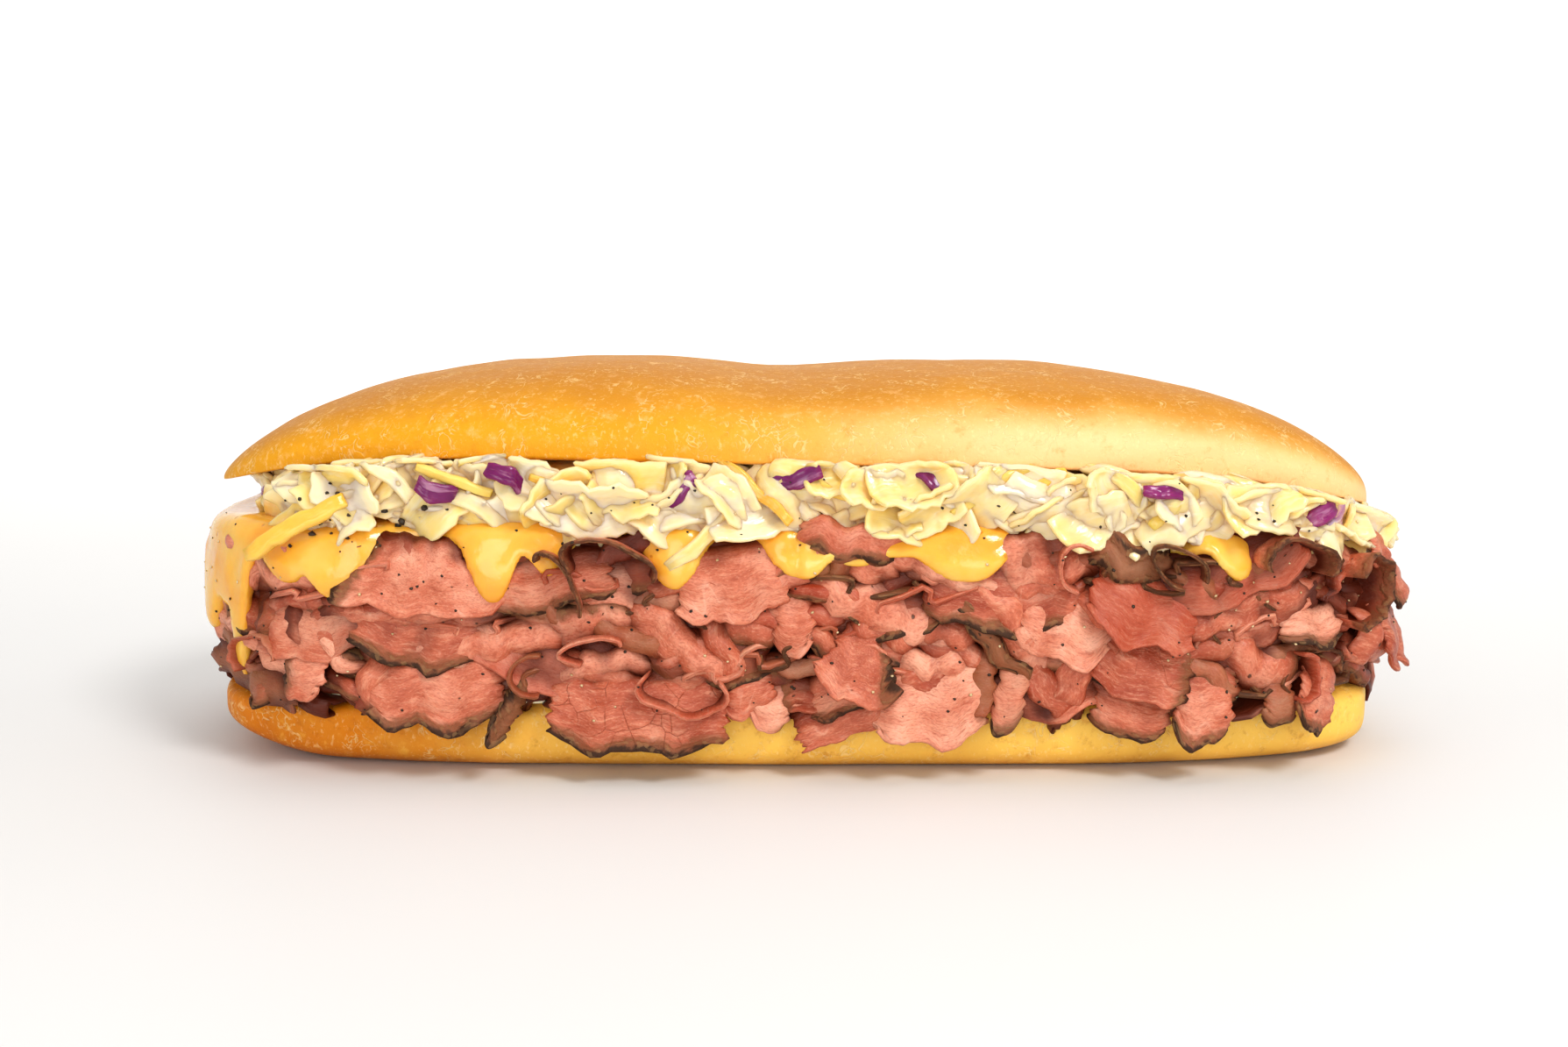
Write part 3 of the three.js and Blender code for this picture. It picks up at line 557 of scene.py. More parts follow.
# Each row is a slice of the front: kind, place along and up, turn, width, height and what else it has.
FRONT_SLICES = [
    ("flap", -121, 33, -4, 16, 20, {"bark": "right", "tone": 0.3, "slope": 0.05}),
    ("ridge", -97.5, 38.5, -6, 20, 8.5, {"bark": "crest", "taper": -0.3, "lift": 0.8}),
    ("ridge", -92, 33.5, -20, 11, 5, {"red": 0.3}),
    ("flap", -70, 39, -4, 33, 13.5, {"flare": 0.5, "bark": "left", "tone": 0.1, "lift": 0.5}),
    ("flap", -46, 38, 9, 24, 10.5, {"bark": "tip", "slope": 0.25, "tone": 0.35}),
    ("curl", -43.5, 38.5, 0, 13, 4.5,
     {"red": 0.4, "lean": -60, "sweep": 220, "bark": "front", "tone": 0.3, "lift": 4.4}),
    ("curl", -34.8, 41, -15, 17, 10.5, {"sweep": 215, "bark": "front", "red": 0.8, "lift": 4.4}),
    ("ruffle", -22, 37.5, 3, 24, 5, {"folds": 1, "tone": 0.5, "bark": "front", "lift": -1.2}),
    ("flap", -12, 37.5, 6, 20, 14, {"lift": 0.6, "tone": 0.05, "slope": 0.15}),
    ("ridge", 10, 45.4, -6, 19, 6, {"red": 0.2, "lift": 3, "bark": "keel"}),
    ("ridge", 4.5, 42, 70, 10, 4, {"tone": 0.9, "lift": 1}),
    ("ridge", 7.5, 41.5, 80, 9, 3.5, {"tone": 0.85, "lift": 1}),
    ("ridge", 2, 41, 100, 8, 3.5, {"tone": 0.95, "lift": 0.7}),
    ("ridge", 13.8, 40.3, -35, 9, 6.5, {"lift": 1}),
    ("ridge", 24.5, 41.3, -13, 33, 5, {"lift": 0.4}),
    ("ruffle", 11, 37, 2, 24, 4, {"folds": 1, "tone": 0.85, "bark": "front", "lift": 0.6}),
    ("ridge", 44.5, 41.3, 5, 22, 11, {"bark": "left", "lift": 0.8}),
    ("curl", 52, 41, 60, 8, 9, {"red": 0.4, "sweep": 200, "tone": 0.15, "lift": 3}),
    ("ridge", 61, 42, -14, 15, 7, {"bark": "crest keel", "tone": 0.8, "lift": 2.2}),
    ("curl", 70, 41, -30, 11, 7, {"sweep": 300, "bark": "front", "tone": 0.8, "red": 0.4, "lift": 2.8}),
    ("ruffle", 76, 39.5, -6, 20, 4, {"folds": 1, "tone": 0.6, "bark": "front", "lift": 0.8}),
    ("curl", 91.5, 41, -20, 15, 10, {"sweep": 215, "bark": "front", "red": 0.5, "lift": 4.4}),
    ("curl", 110, 34, -135, 14.5, 13, {"sweep": 280, "bark": "front", "red": 0.9, "lift": 4.4}),
    ("flap", 124, 33, -25, 11, 9, {"bark": "tip", "lift": 5}),
    ("flap", 118, 40.5, -12, 10, 7, {"lift": 2}),
    ("flap", -104, 29.5, 4, 11, 8, {"bark": "tip", "tone": 0.55}),
    ("ridge", -83, 29.5, 8, 29, 7, {"lift": 0.6}),
    ("ridge", -71, 31.8, 3, 36, 4, {"lift": 0.8}),
    ("ridge", -86, 33.2, -4, 16, 4, {}),
    ("ridge", -73, 24.5, 6, 18, 4, {"tone": 0.3, "bark": "keel"}),
    ("ruffle", -62, 28.5, 5, 22, 3, {"folds": 1.5, "tone": 0.3}),
    ("ridge", -55.5, 25.7, 13, 28, 7, {"taper": -0.25, "lift": 1}),
    ("ridge", -41, 30.3, 7, 25, 8, {"bark": "crest", "lift": 0.6}),
    ("curl", -38, 25.3, 10, 12, 4.5, {"red": 0.4, "sweep": 250, "tone": 0.3, "lift": 2.6}),
    ("ridge", -37, 21.8, 8, 22, 5, {"lift": 0.4}),
    ("ridge", -24, 34, -4, 22, 5, {"tone": 0.65}),
    ("ruffle", -30, 33.5, 4, 16, 3, {"folds": 1, "tone": 0.5, "bark": "front"}),
    ("ridge", -22, 26.3, -40, 22, 6.5, {"lift": 1.4, "tuck": 2}),
    ("ridge", -13.5, 23.5, -74, 17, 5, {"lift": 1}),
    ("ridge", -8.5, 29, -8, 15, 8, {"bark": "keel", "lift": 0.3}),
    ("flap", -0.5, 30, -4, 6.5, 11, {"lift": 0.8}),
    ("ruffle", -3, 23.5, 12, 10, 4, {"folds": 1, "tone": 0.85, "bark": "front", "lift": 1}),
    ("ridge", 14.5, 32.8, -18, 28, 8, {"lift": 1.2}),
    ("ridge", 16, 28, -36, 14, 4, {"lift": 0.8}),
    ("flap", 11.5, 23, -14, 17, 13, {"bark": "right", "lift": 0.8, "flare": 0.55, "slope": 0.35}),
    ("ridge", 28.5, 28.5, 14, 18, 8, {"tone": 0.1}),
    ("ridge", 39, 28.8, -47, 25, 8, {"lift": 1.4, "taper": 0.25, "bow": 1.5}),
    ("ridge", 36.5, 26, -52, 24, 3, {"tone": 0.8, "bark": "crest keel", "lift": 1.9}),
    ("flap", 49.5, 29.5, -12, 17, 12, {"slope": 0.3, "lift": 0.2}),
    ("ridge", 46, 35.5, -3, 18, 5, {"lift": 0.6}),
    ("ridge", 57, 30.5, -46, 17, 5, {"lift": 1}),
    ("flap", 64, 33, -24, 21, 13, {"red": 0.45, "lift": 0.6, "slope": 0.3}),
    ("ridge", 83.5, 32.3, 12, 30, 7, {"lift": 0.6}),
    ("ridge", 86, 36.5, 8, 22, 5.5, {"lift": 0.4}),
    ("ridge", 79, 37.3, 4, 16, 5, {}),
    ("ridge", 84, 27.3, 14, 20, 4.5, {"tone": 0.1}),
    ("flap", 97, 28.5, -4, 14, 7, {"bark": "tip", "lift": 0.8, "slope": 0.3}),
    ("ruffle", 64, 38, -8, 22, 3.5, {"folds": 1.5, "tone": 0.7, "bark": "front", "lift": 0.6}),
    ("curl", -103.5, 21, 10, 13, 11, {"red": 0.4, "lift": 2, "sweep": 200, "tone": 0.6}),
    ("flap", -92, 20.5, -8, 9, 12, {"lift": 0.8, "bark": "left"}),
    ("flap", -104.5, 15.5, 12, 5, 8, {"tone": 0.7, "bark": "tip"}),
    ("ridge", -86, 23, -35, 11, 5, {"bark": "crest keel", "tone": 0.4}),
    ("flap", -67, 16.8, 2, 25, 13, {"lift": 1, "bark": "tip", "slope": 0.12}),
    ("ridge", -78.5, 18.5, 78, 13, 5, {"lift": 1.4, "bark": "left"}),
    ("flap", -53.5, 14, -32, 3.2, 13, {"tone": 0.9, "bark": "tip left", "lift": 1.2}),
    ("curl", -49.5, 20.5, 60, 8, 7, {"red": 0.4, "lift": 2, "sweep": 240, "tone": 0.8}),
    ("ruffle", -52, 18.5, 5, 10, 4, {"folds": 1, "tone": 0.75}),
    ("flap", -29.5, 12.8, -2, 33, 13, {"lift": 1.4, "bark": "tip", "tone": 0.15, "crack": 0.5}),
    ("curl", -21, 19.3, 165, 16, 12, {"red": 0.4, "sweep": 205, "tone": 0.25, "lift": 4}),
    ("flap", -9, 17.5, 5, 9, 9, {"tone": 0.1, "lift": 0.4}),
    ("flap", -5, 14.5, -12, 7, 9, {"tone": 0.1}),
    ("flap", 0, 15.8, 6, 8, 6, {"tone": 0.4, "bark": "left"}),
    ("flap", 9, 17.3, 22, 14, 8, {"bark": "tip", "tone": 0.4, "lift": 0.9}),
    ("flap", 8, 12, 24, 17, 8, {"lift": 0.6}),
    ("flap", 24.5, 14.5, 4, 21, 14, {"lift": 1, "ripple": 1.7}),
    ("ridge", 25.5, 22, 5, 16, 6, {"lift": 0.8}),
    ("ridge", 23, 18.8, 8, 14, 4.5, {"lift": 1.2}),
    ("flap", 39.5, 16.5, -14, 5, 15, {"tone": 0.5, "lift": 1.3, "bark": "tip"}),
    ("flap", 34.5, 18, -5, 4, 13, {"tone": 0.75, "lift": 0.8}),
    ("ridge", 52.3, 22, 68, 20, 6, {"lift": 1.8}),
    ("ridge", 46.8, 17.5, -58, 16, 5.5, {"lift": 1.4}),
    ("flap", 64, 22, -18, 19, 12, {"lift": 1, "bark": "right", "slope": 0.25, "crack": 0.3}),
    ("flap", 62.5, 13.5, -14, 14, 11, {"lift": 0.4, "tone": 0.35, "bark": "tip"}),
    ("flap", 75.5, 14.5, -6, 10.5, 14, {"lift": 0.8, "tone": 0.1, "bark": "tip"}),
    ("ridge", 77, 19.5, -32, 13, 4, {"tone": 0.7, "bark": "keel", "lift": 1.2}),
    ("ridge", 86, 22, -18, 19, 9, {"bark": "right", "taper": 0.3, "lift": 0.8}),
    ("curl", 93.5, 19.5, -100, 9, 7, {"sweep": 200, "red": 0.4, "lift": 3.2}),
    ("flap", 98.5, 15, -26, 10, 14, {"lift": 1, "bark": "tip"}),
    ("flap", 90.5, 14.5, -4, 6, 10, {"tone": 0.65, "bark": "tip", "lift": 0.6}),
    ("ridge", 117, 24, -6, 17, 9.5, {"tone": 0.02, "lift": 4.5}),
    ("flap", 122, 23, -8, 17, 12, {"tone": 0.0, "lift": 4}),
]

front_pile = Pile()
front_draw = random.Random(11)
for kind, s, z, turn, span, height, more in FRONT_SLICES:
    beef_slice(front_pile, front_draw, kind, s, z, turn, span, height, **more)

# Behind those lie more slices of the same kinds, and the ends and the back carry a like heap.
back_pile = Pile()
back_draw = random.Random(71)
EDGES = ["tip", "", "left", "tip", "crest", ""]


def drawn_slice(draw, s, z, lift, cells):
    kind = draw.choice(["ridge", "ridge", "flap", "ridge", "ruffle", "curl"])
    highs = {"ridge": (4, 8), "flap": (9, 14), "curl": (7, 11), "ruffle": (3, 5)}
    wide = draw.uniform(11, 17) if kind == "curl" else draw.uniform(15, 30)
    bark = "front" if kind in ("curl", "ruffle") else draw.choice(EDGES)
    beef_slice(
        back_pile, draw, kind, s, z, draw.uniform(-28, 28), wide, draw.uniform(*highs[kind]), cells=cells,
        lift=lift, bark=bark, tone=draw.choice([0.1, 0.2, 0.3, 0.5, 0.8]), red=draw.choice([0.0, 0.0, 0.5]),
    )


for row, z in enumerate([18.0, 24.0, 29.5, 35.0, 40.0]):
    for column in range(15):
        s = -124.0 + 17.0 * (column + 0.5 * (row % 2)) + back_draw.uniform(-3, 3)
        drawn_slice(back_draw, s, z + back_draw.uniform(-1, 1), back_draw.uniform(-2.6, -0.6), (18, 12))

# Thin folds fill the gaps between the large slices.
fine_pile = Pile()
fine_draw = random.Random(93)
for row, z in enumerate([17.0, 20.5, 24.0, 27.5, 31.0, 34.5, 38.0, 41.0]):
    for column in range(13):
        s = -122.0 + 19.5 * (column + 0.5 * (row % 2)) + fine_draw.uniform(-4, 4)
        kind = fine_draw.choice(["ridge", "ridge", "ridge", "ruffle"])
        beef_slice(
            fine_pile, fine_draw, kind, s, z + fine_draw.uniform(-1, 1), fine_draw.uniform(-35, 35),
            fine_draw.uniform(12, 30), fine_draw.uniform(2.2, 4.2),
            cells=(16, 16), lift=fine_draw.uniform(-1.2, 1.2),
            bark=fine_draw.choice(["", "", "keel"]), tone=fine_draw.choice([0.0, 0.1, 0.2, 0.4, 0.7]),
            red=fine_draw.choice([0.0, 0.0, 0.0, 0.3]),
        )

FAR_START = 138.0
FAR_END = WALL_ROUND - 132.0
for row, z in enumerate([14.5, 20.5, 27.0, 33.0, 39.0]):
    count = 16
    for column in range(count):
        share = (column + 0.5 * (row % 2) + back_draw.uniform(0.0, 0.4)) / count
        s = FAR_START + (FAR_END - FAR_START) * share
        lift = (1.0 if row == 0 else 0.0) + back_draw.uniform(-1.0, 0.8)
        drawn_slice(back_draw, s, z + back_draw.uniform(-1, 1), lift, (18, 12))


def beef_finish():
    """Pink roast beef that greys and browns towards its dark, peppered crust; painted shade makes it darker
    red inside curled slices and near black deep in the heap.
    """
    mix = Recipe("beef")
    grain = mix.mark("grain", "Vector")
    bark = mix.mark("bark")
    patch = mix.cloud(grain, 120.0, 3.0)
    fibre = mix.cloud(mix.stretch(grain, (1.0, 0.35, 1.0)), 900.0, 4.0, 0.6)
    fine = mix.cloud(mix.stretch(grain, (1.0, 0.6, 1.0)), 2600.0, 3.0, 0.6)
    shade = patch * 0.68 + mix.mark("hue") * 0.32
    pink = mix.ramp(
        shade, [(0.26, (0.36, 0.06, 0.024)), (0.48, (0.6, 0.175, 0.095)), (0.7, (0.85, 0.39, 0.26))]
    )
    colour = mix.mix(mix.step(fibre, 0.5, 0.72) * 0.4, pink, (0.84, 0.42, 0.27))
    colour = mix.mix(mix.step(fibre, 0.48, 0.3) * 0.45, colour, (0.34, 0.06, 0.024))
    colour = mix.mix(mix.step(fine, 0.5, 0.36) * 0.3, colour, (0.3, 0.05, 0.02))
    colour = mix.mix(mix.step(fine, 0.54, 0.7) * 0.22, colour, (0.9, 0.52, 0.36))
    streak = (mix.cloud(mix.stretch(grain, (0.35, 1.0, 1.0)), 110.0, 2.0, 0.5, 0.6) - 0.5).size()
    fat = (1.0 - mix.step(streak, 0.004, 0.02)) * mix.step(patch, 0.48, 0.6)
    colour = mix.mix(fat * 0.16, colour, (0.88, 0.6, 0.45))
    aged = mix.step(mix.mark("tone") + (patch - 0.5) * 0.8, 0.26, 0.98)
    colour = mix.mix(aged * 0.9, colour, (0.24, 0.095, 0.035))
    # Painted shade inside curls, where only the inner face carries red; on other slices this is the meat's
    # own deeper red.
    colour = mix.mix(mix.mark("red") * 0.85, colour, (0.38, 0.04, 0.012))
    # Painted shade: near black where the deep mark says the surface lies deep in the heap or inside a loop.
    colour = mix.mix(mix.step(mix.mark("deep"), 0.05, 0.5) * 0.95, colour, (0.1, 0.014, 0.003))
    net = mix.cells(mix.stretch(grain, (1.0, 1.6, 1.0)), 120.0, "DISTANCE_TO_EDGE")
    torn = (1.0 - mix.step(net, 0.0, 0.025)) * mix.step(patch, 0.4, 0.55) * mix.mark("crack")
    colour = mix.mix(torn * 0.8, colour, (0.2, 0.045, 0.02))
    frayed = bark + (mix.cloud(grain, 600.0, 4.0, 0.7) - 0.5) * 0.5
    colour = mix.mix(mix.step(frayed, 0.1, 0.65) * 0.85, colour, (0.22, 0.08, 0.032))
    colour = mix.mix(mix.step(frayed, 0.68, 0.95) * 0.95, colour, (0.045, 0.018, 0.007))
    gritty = mix.node("ShaderNodeSeparateColor", {}, {0: mix.cells(grain, 1100.0, out="Color")}, 0)
    grit = mix.step(gritty, 0.66, 0.86) * mix.step(frayed, 0.4, 0.7)
    colour = mix.mix(grit * 0.4, colour, (0.34, 0.19, 0.08))
    speck = mix.cells(grain, 230.0)
    chance = mix.node("ShaderNodeSeparateColor", {}, {0: speck.other("Color")}, 1)
    peppered = (1.0 - mix.step(speck, 0.05, 0.1)) * mix.step(chance, 0.74, 0.76)
    colour = mix.mix(peppered * 0.85, colour, (0.05, 0.028, 0.015))
    height = fibre * 0.6 + fine * 0.3 + patch * 0.4 - torn * 0.8
    height = height + gritty * mix.step(frayed, 0.45, 0.65) * 1.2 + peppered * 0.6
    rough = mix.step(fibre + bark, 0.2, 1.2, 0.34, 0.66)
    return mix.finish(
        colour, rough, height, 0.0006, 0.6,
        Specular_IOR_Level=0.36, Subsurface_Weight=0.1, Subsurface_Scale=0.0015,
        Subsurface_Radius=(1.0, 0.3, 0.15),
    )


beef_material = beef_finish()
beef_front = front_pile.piece("beef_slices_front", beef_material)
seat(beef_front, "roast_beef")
beef_fine = fine_pile.piece("beef_folds", beef_material)
seat(beef_fine)
beef_back = back_pile.piece("beef_slices_back", beef_material)
seat(beef_back)


def filling_core(name, inset, low, high, lump, left_inset=0.0):
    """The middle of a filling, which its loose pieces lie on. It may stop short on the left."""
    shift = left_inset / 2
    core, points, up = add_layer(
        name, WALL_STRAIGHT + WALL_HALF_WIDTH - inset - shift, WALL_HALF_WIDTH - inset,
        low=lambda x: low(x + shift), mid=lambda x: (low(x + shift) + high(x + shift)) / 2,
        high=lambda x: high(x + shift), plan=0.55, above=0.5, below=0.5, around=96, along=120,
    )
    points[:, 0] += shift
    bumps = lump * (wander(points, 6.0, 8) + 0.6 * wander(points, 3.0, 9))
    points[:, 1] += np.sign(points[:, 1]) * bumps * (np.abs(up) < 0.95)
    set_points(core, points)
    return core


beef_core = filling_core(
    "beef_middle", 6.5, lambda x: np.full_like(x, HEEL_HEIGHT + 2.5), lambda x: beef_top(x) - 0.6, 1.2
)
core_points = np.empty(len(beef_core.data.vertices) * 3)
beef_core.data.vertices.foreach_get("co", core_points)
core_points = core_points.reshape(-1, 3)
set_mark(beef_core, "bark", np.zeros(len(core_points)))
# Painted shade: the middle shows only in the gaps between slices, and its tone, red and deep marks darken it
# nearly to black.
set_mark(beef_core, "tone", np.full(len(core_points), 0.6))
set_mark(beef_core, "red", np.full(len(core_points), 0.6))
set_mark(beef_core, "deep", np.full(len(core_points), 0.9))
set_mark(beef_core, "crack", np.zeros(len(core_points)))
set_mark(beef_core, "hue", np.full(len(core_points), 0.3))
grain_mark = beef_core.data.attributes.new("grain", "FLOAT_VECTOR", "POINT")
grain_mark.data.foreach_set("vector", core_points.astype(np.float32).ravel())
beef_core.data.materials.append(beef_material)
seat(beef_core)

# Cheese sauce
# Warm cheese sauce is ladled over the beef. It is thick and glossy, lies as a pool under the slaw,
# and runs over the edge in rounded tongues, with a long drip at the left end.
SAUCE_THICKNESS = 2.4
SAUCE_VOXEL = 0.75 * MM
# Each run of sauce: its place along the wall, the height of its foot and its width.
SAUCE_RUNS = [
    (-123, 25, 13), (-113, 31, 17), (-109, 18, 6), (-84, 35.5, 15), (-95, 38, 12), (-56, 35, 9),
    (-45, 39.5, 9), (-23, 37.5, 12), (1, 39.5, 12), (11, 42, 12), (31, 39, 18), (58, 37, 8),
    (69, 41, 11), (82, 38.5, 9),
    (99, 39, 12), (150, 34, 13), (172, 38, 12), (215, 35, 15), (236, 39, 13), (262, 37, 13), (288, 38, 12),
    (310, 34, 15), (334, 38, 14), (352, 37, 12), (380, 36, 14), (412, 34, 13), (430, 37, 15),
]
# Where slices stand through the sauce: place along the wall and width.
SAUCE_GAPS = [(-34.8, 8.5), (-70, 9), (-12, 6), (48, 9), (65, 9.5), (91.5, 8), (110, 8)]


SAUCE_LEFT_MOUND = 2.2


def sauce_top(x):
    """The top of the sauce, which is heaped a little higher over the left end."""
    return beef_top(x) + SAUCE_THICKNESS + 0.3 + SAUCE_LEFT_MOUND * np.clip((-92.0 - x) / 15.0, 0.0, 1.0)


pool, pool_points, pool_up = add_layer(
    "cheese_sauce", WALL_STRAIGHT + WALL_HALF_WIDTH - 4.5, WALL_HALF_WIDTH - 4.5,
    low=lambda x: beef_top(x) - 0.2, mid=lambda x: beef_top(x) + 1.2, high=sauce_top,
    plan=0.6, above=0.5, below=0.5, around=64, along=96,
)
pool_points[:, 2] += 0.8 * wander(pool_points, 11.0, 13)
set_points(pool, pool_points)


def sauce_skirt():
    """The sauce's overhanging edge, all the way round: a soft hem that reaches lower in every run."""
    draw = random.Random(5)
    places = np.linspace(0.0, WALL_ROUND, 480)
    length = 3.4 + waves(draw, places, (WALL_ROUND / 23, WALL_ROUND / 37, WALL_ROUND / 14), 1.2)
    for s, tip, width in SAUCE_RUNS:
        apart = np.abs((places - s + WALL_ROUND / 2) % WALL_ROUND - WALL_ROUND / 2)
        drop = sauce_top(wall_at(s)[0][0]) - tip
        length = np.maximum(length, drop * np.exp(-((apart / (0.56 * width)) ** 2.6)))
    recess = np.zeros(len(places))
    for s, width in SAUCE_GAPS:
        apart = np.abs((places - s + WALL_ROUND / 2) % WALL_ROUND - WALL_ROUND / 2)
        recess = np.maximum(recess, np.exp(-((apart / width) ** 4)))
    length = length * (1.0 - 0.55 * recess)
    down = np.linspace(0.0, 1.0, 22)
    level = np.clip(down / 0.3, 0.0, 1.0)
    turn = np.clip((down - 0.3) / 0.25, 0.0, 1.0) * math.pi / 2
    hang = np.clip((down - 0.55) / 0.45, 0.0, 1.0)
    surface = np.empty((len(down), len(places), 3))
    thick = np.empty((len(down), len(places)))
    for column, s in enumerate(places):
        point, along, out = wall_at(s)
        shoulder = min(3.2, 0.8 * length[column])
        bulge = 0.5 * math.sin(s / 5.3) + 0.35 * math.sin(s / 2.9 + 1.0)
        depth = -9.0 + (9.0 - shoulder) * level + shoulder * np.sin(turn) + (0.5 + bulge) * hang
        depth = depth + 0.3 + 0.7 * np.sin(math.pi * hang) ** 2 - 4.0 * recess[column]
        height = sauce_top(point[0]) - 1.2 - shoulder * (1.0 - np.cos(turn))
        height = height - (length[column] - shoulder) * hang
        surface[:, column] = point + depth[:, None] * out + height[:, None] * UP
        thick[:, column] = 2.3 + min(1.5, 0.13 * length[column]) * hang ** 3
    points, faces = thin_sheet(surface, thick)
    skirt = Pile()
    skirt.add(points, faces)
    return skirt.piece("cheese_sauce_skirt")


skirt = sauce_skirt()
bpy.ops.object.select_all(action="DESELECT")
skirt.select_set(True)
pool.select_set(True)
bpy.context.view_layer.objects.active = pool
bpy.ops.object.join()
sauce = bpy.context.object
for kind, settings in [("REMESH", {"mode": "VOXEL", "voxel_size": SAUCE_VOXEL}),
                       ("SMOOTH", {"factor": 0.6, "iterations": 5})]:
    modifier = sauce.modifiers.new(kind.lower(), kind)
    for name, setting in settings.items():
        setattr(modifier, name, setting)
    bpy.ops.object.modifier_apply(modifier=modifier.name)
bpy.ops.object.shade_smooth()
mix = Recipe("cheese_sauce")
place = mix.place()
cloud = mix.cloud(place, 70.0, 3.0)
curd = mix.cloud(place, 650.0, 4.0)
sauce_colour = mix.ramp(
    cloud, [(0.3, (0.86, 0.36, 0.035)), (0.52, (0.94, 0.5, 0.07)), (0.75, (0.96, 0.62, 0.16))]
)
fleck = mix.cells(place, 260.0)
flecked = 1.0 - mix.step(fleck, 0.08, 0.16)
rare = mix.step(mix.node("ShaderNodeSeparateColor", {}, {0: fleck.other("Color")}, 0), 0.62, 0.65)
sauce_colour = mix.mix(flecked * rare * 0.55, sauce_colour, (0.5, 0.16, 0.02))
sauce.data.materials.append(
    mix.finish(
        sauce_colour, mix.step(curd, 0.3, 0.7, 0.1, 0.2),
        cloud + curd * 0.16 - flecked * rare * 0.3, 0.0012, 0.4,
        Specular_IOR_Level=0.6, Subsurface_Weight=0.35, Subsurface_Scale=0.003,
        Subsurface_Radius=(1.0, 0.6, 0.15),
    )
)
seat(sauce, "cheese_sauce")

# Coleslaw
# Shredded white cabbage with some red cabbage and carrot, tossed in a thin dressing. The shreds are
# curved strips and cupped bits of leaf, heaped in a loose band under the upper half of the roll.
SLAW_LEFT_INSET = 13.0
SLAW_RIGHT_INSET = 12.0
slaw_draw = random.Random(23)


def shred(pile, draw, middle, run, face, length, width, thickness, curl, twist, cup, cells=(12, 5), **marks):
    """Adds one strip: it runs along run, faces face, bends by curl degrees and turns over by twist."""
    run = run / np.linalg.norm(run)
    face = face - run * np.dot(face, run)
    face = face / np.linalg.norm(face)
    side = np.cross(face, run)
    w = stops(cells[0], -0.5, 0.5, 0.3 / length)
    bend = math.radians(curl)
    angle = bend * w
    if abs(bend) > 0.05:
        forward = np.sin(angle) / bend * length
        inward = (np.cos(angle) - 1.0) / bend * length
    else:
        forward = w * length
        inward = 0.0 * w
    tangent_face = np.cos(angle)[:, None] * face + np.sin(angle)[:, None] * run
    roll = math.radians(twist) * w
    sideways = np.cos(roll)[:, None] * side + np.sin(roll)[:, None] * tangent_face
    facing = np.cos(roll)[:, None] * tangent_face - np.sin(roll)[:, None] * side
    spine = middle + forward[:, None] * run + inward[:, None] * face
    taper = 0.72 + 0.28 * np.sqrt(np.maximum(0.0, 1.0 - (2.0 * w) ** 2))
    ragged = 1.0 + 0.5 * waves(draw, w * length, (3.3, 5.9), 0.22)
    across = stops(cells[1], -0.5, 0.5, 0.3 / width)
    offset = across[None, :] * (width * taper * ragged)[:, None]
    shift = waves(draw, w * length, (7.7, 11.0), 0.35 * min(width, 4.0) / 3.0)
    lift = cup * width * (across ** 2)[None, :]
    lift = lift + waves(draw, offset + 2.0 * w[:, None] * length, (5.1, 8.3), 0.16)
    surface = spine[:, None, :] + (offset + shift[:, None])[..., None] * sideways[:, None, :]
    surface = surface + lift[..., None] * facing[:, None, :]
    surface[..., 2] -= 0.75 * np.maximum(0.0, surface[..., 2] - crown_edge(surface[..., 0]) - 0.8)
    points, faces = thin_sheet(surface, thickness)
    flat = np.broadcast_arrays(w[:, None] * length, offset, 0.0 * offset + middle[0])
    flat = np.stack(flat, axis=-1).reshape(-1, 3)
    rim = np.maximum(np.abs(2.0 * across)[None, :], 0.0 * offset) ** 3
    pile.add(
        points, faces, grain=np.concatenate([flat, flat + (0.0, 0.0, 9.0)]) * MM,
        rim=np.concatenate([rim.ravel(), rim.ravel()]), **marks,
    )


def slaw_place(s, share, depth):
    """A place in the slaw's band: share goes from the sauce up to the crown, and depth out of the wall."""
    point, along, out = wall_at(s)
    low = sauce_top(point[0])
    high = crown_edge(point[0])
    depth -= SLAW_LEFT_INSET * max(0.0, -out[0]) ** 2
    depth -= SLAW_RIGHT_INSET * max(0.0, out[0]) ** 2 * max(0.0, share - 0.3)
    return point + out * depth + UP * (low + share * (high - low)), along, out


# The kinds of shred: length, width, thickness, curl, twist and cup, with the ranges they are drawn from.
SHREDS = {
    "leaf": ((11, 18), (7, 12), 1.0, (-70, 160), 45, (-0.9, 1.3)),
    "strip": ((18, 34), (2.6, 4.2), 1.3, (60, 270), 70, (-0.3, 0.7)),
    "bit": ((7, 11), (2.6, 4.6), 1.1, (20, 120), 60, (0.0, 0.8)),
    "stick": ((12, 20), (1.7, 2.4), 1.5, (-25, 45), 25, (0.0, 0.0)),
}


def drawn_shred(pile, draw, kind, s, share, depth, hue):
    middle, along, out = slaw_place(s, share, depth)
    heading = math.radians(draw.uniform(-50, 50))
    run = along * math.cos(heading) + UP * math.sin(heading) + out * draw.uniform(-0.35, 0.35)
    face = out + UP * draw.uniform(-0.5, 0.7) + along * draw.uniform(-0.5, 0.5)
    lengths, widths, thickness, curls, twist, cups = SHREDS[kind]
    length = draw.uniform(*lengths)
    width = draw.uniform(*widths)
    curl = draw.uniform(*curls)
    turned = draw.uniform(-twist, twist)
    cup = draw.uniform(*cups)
    shred(pile, draw, middle, run, face, length, width, thickness, curl, turned, cup, hue=hue)


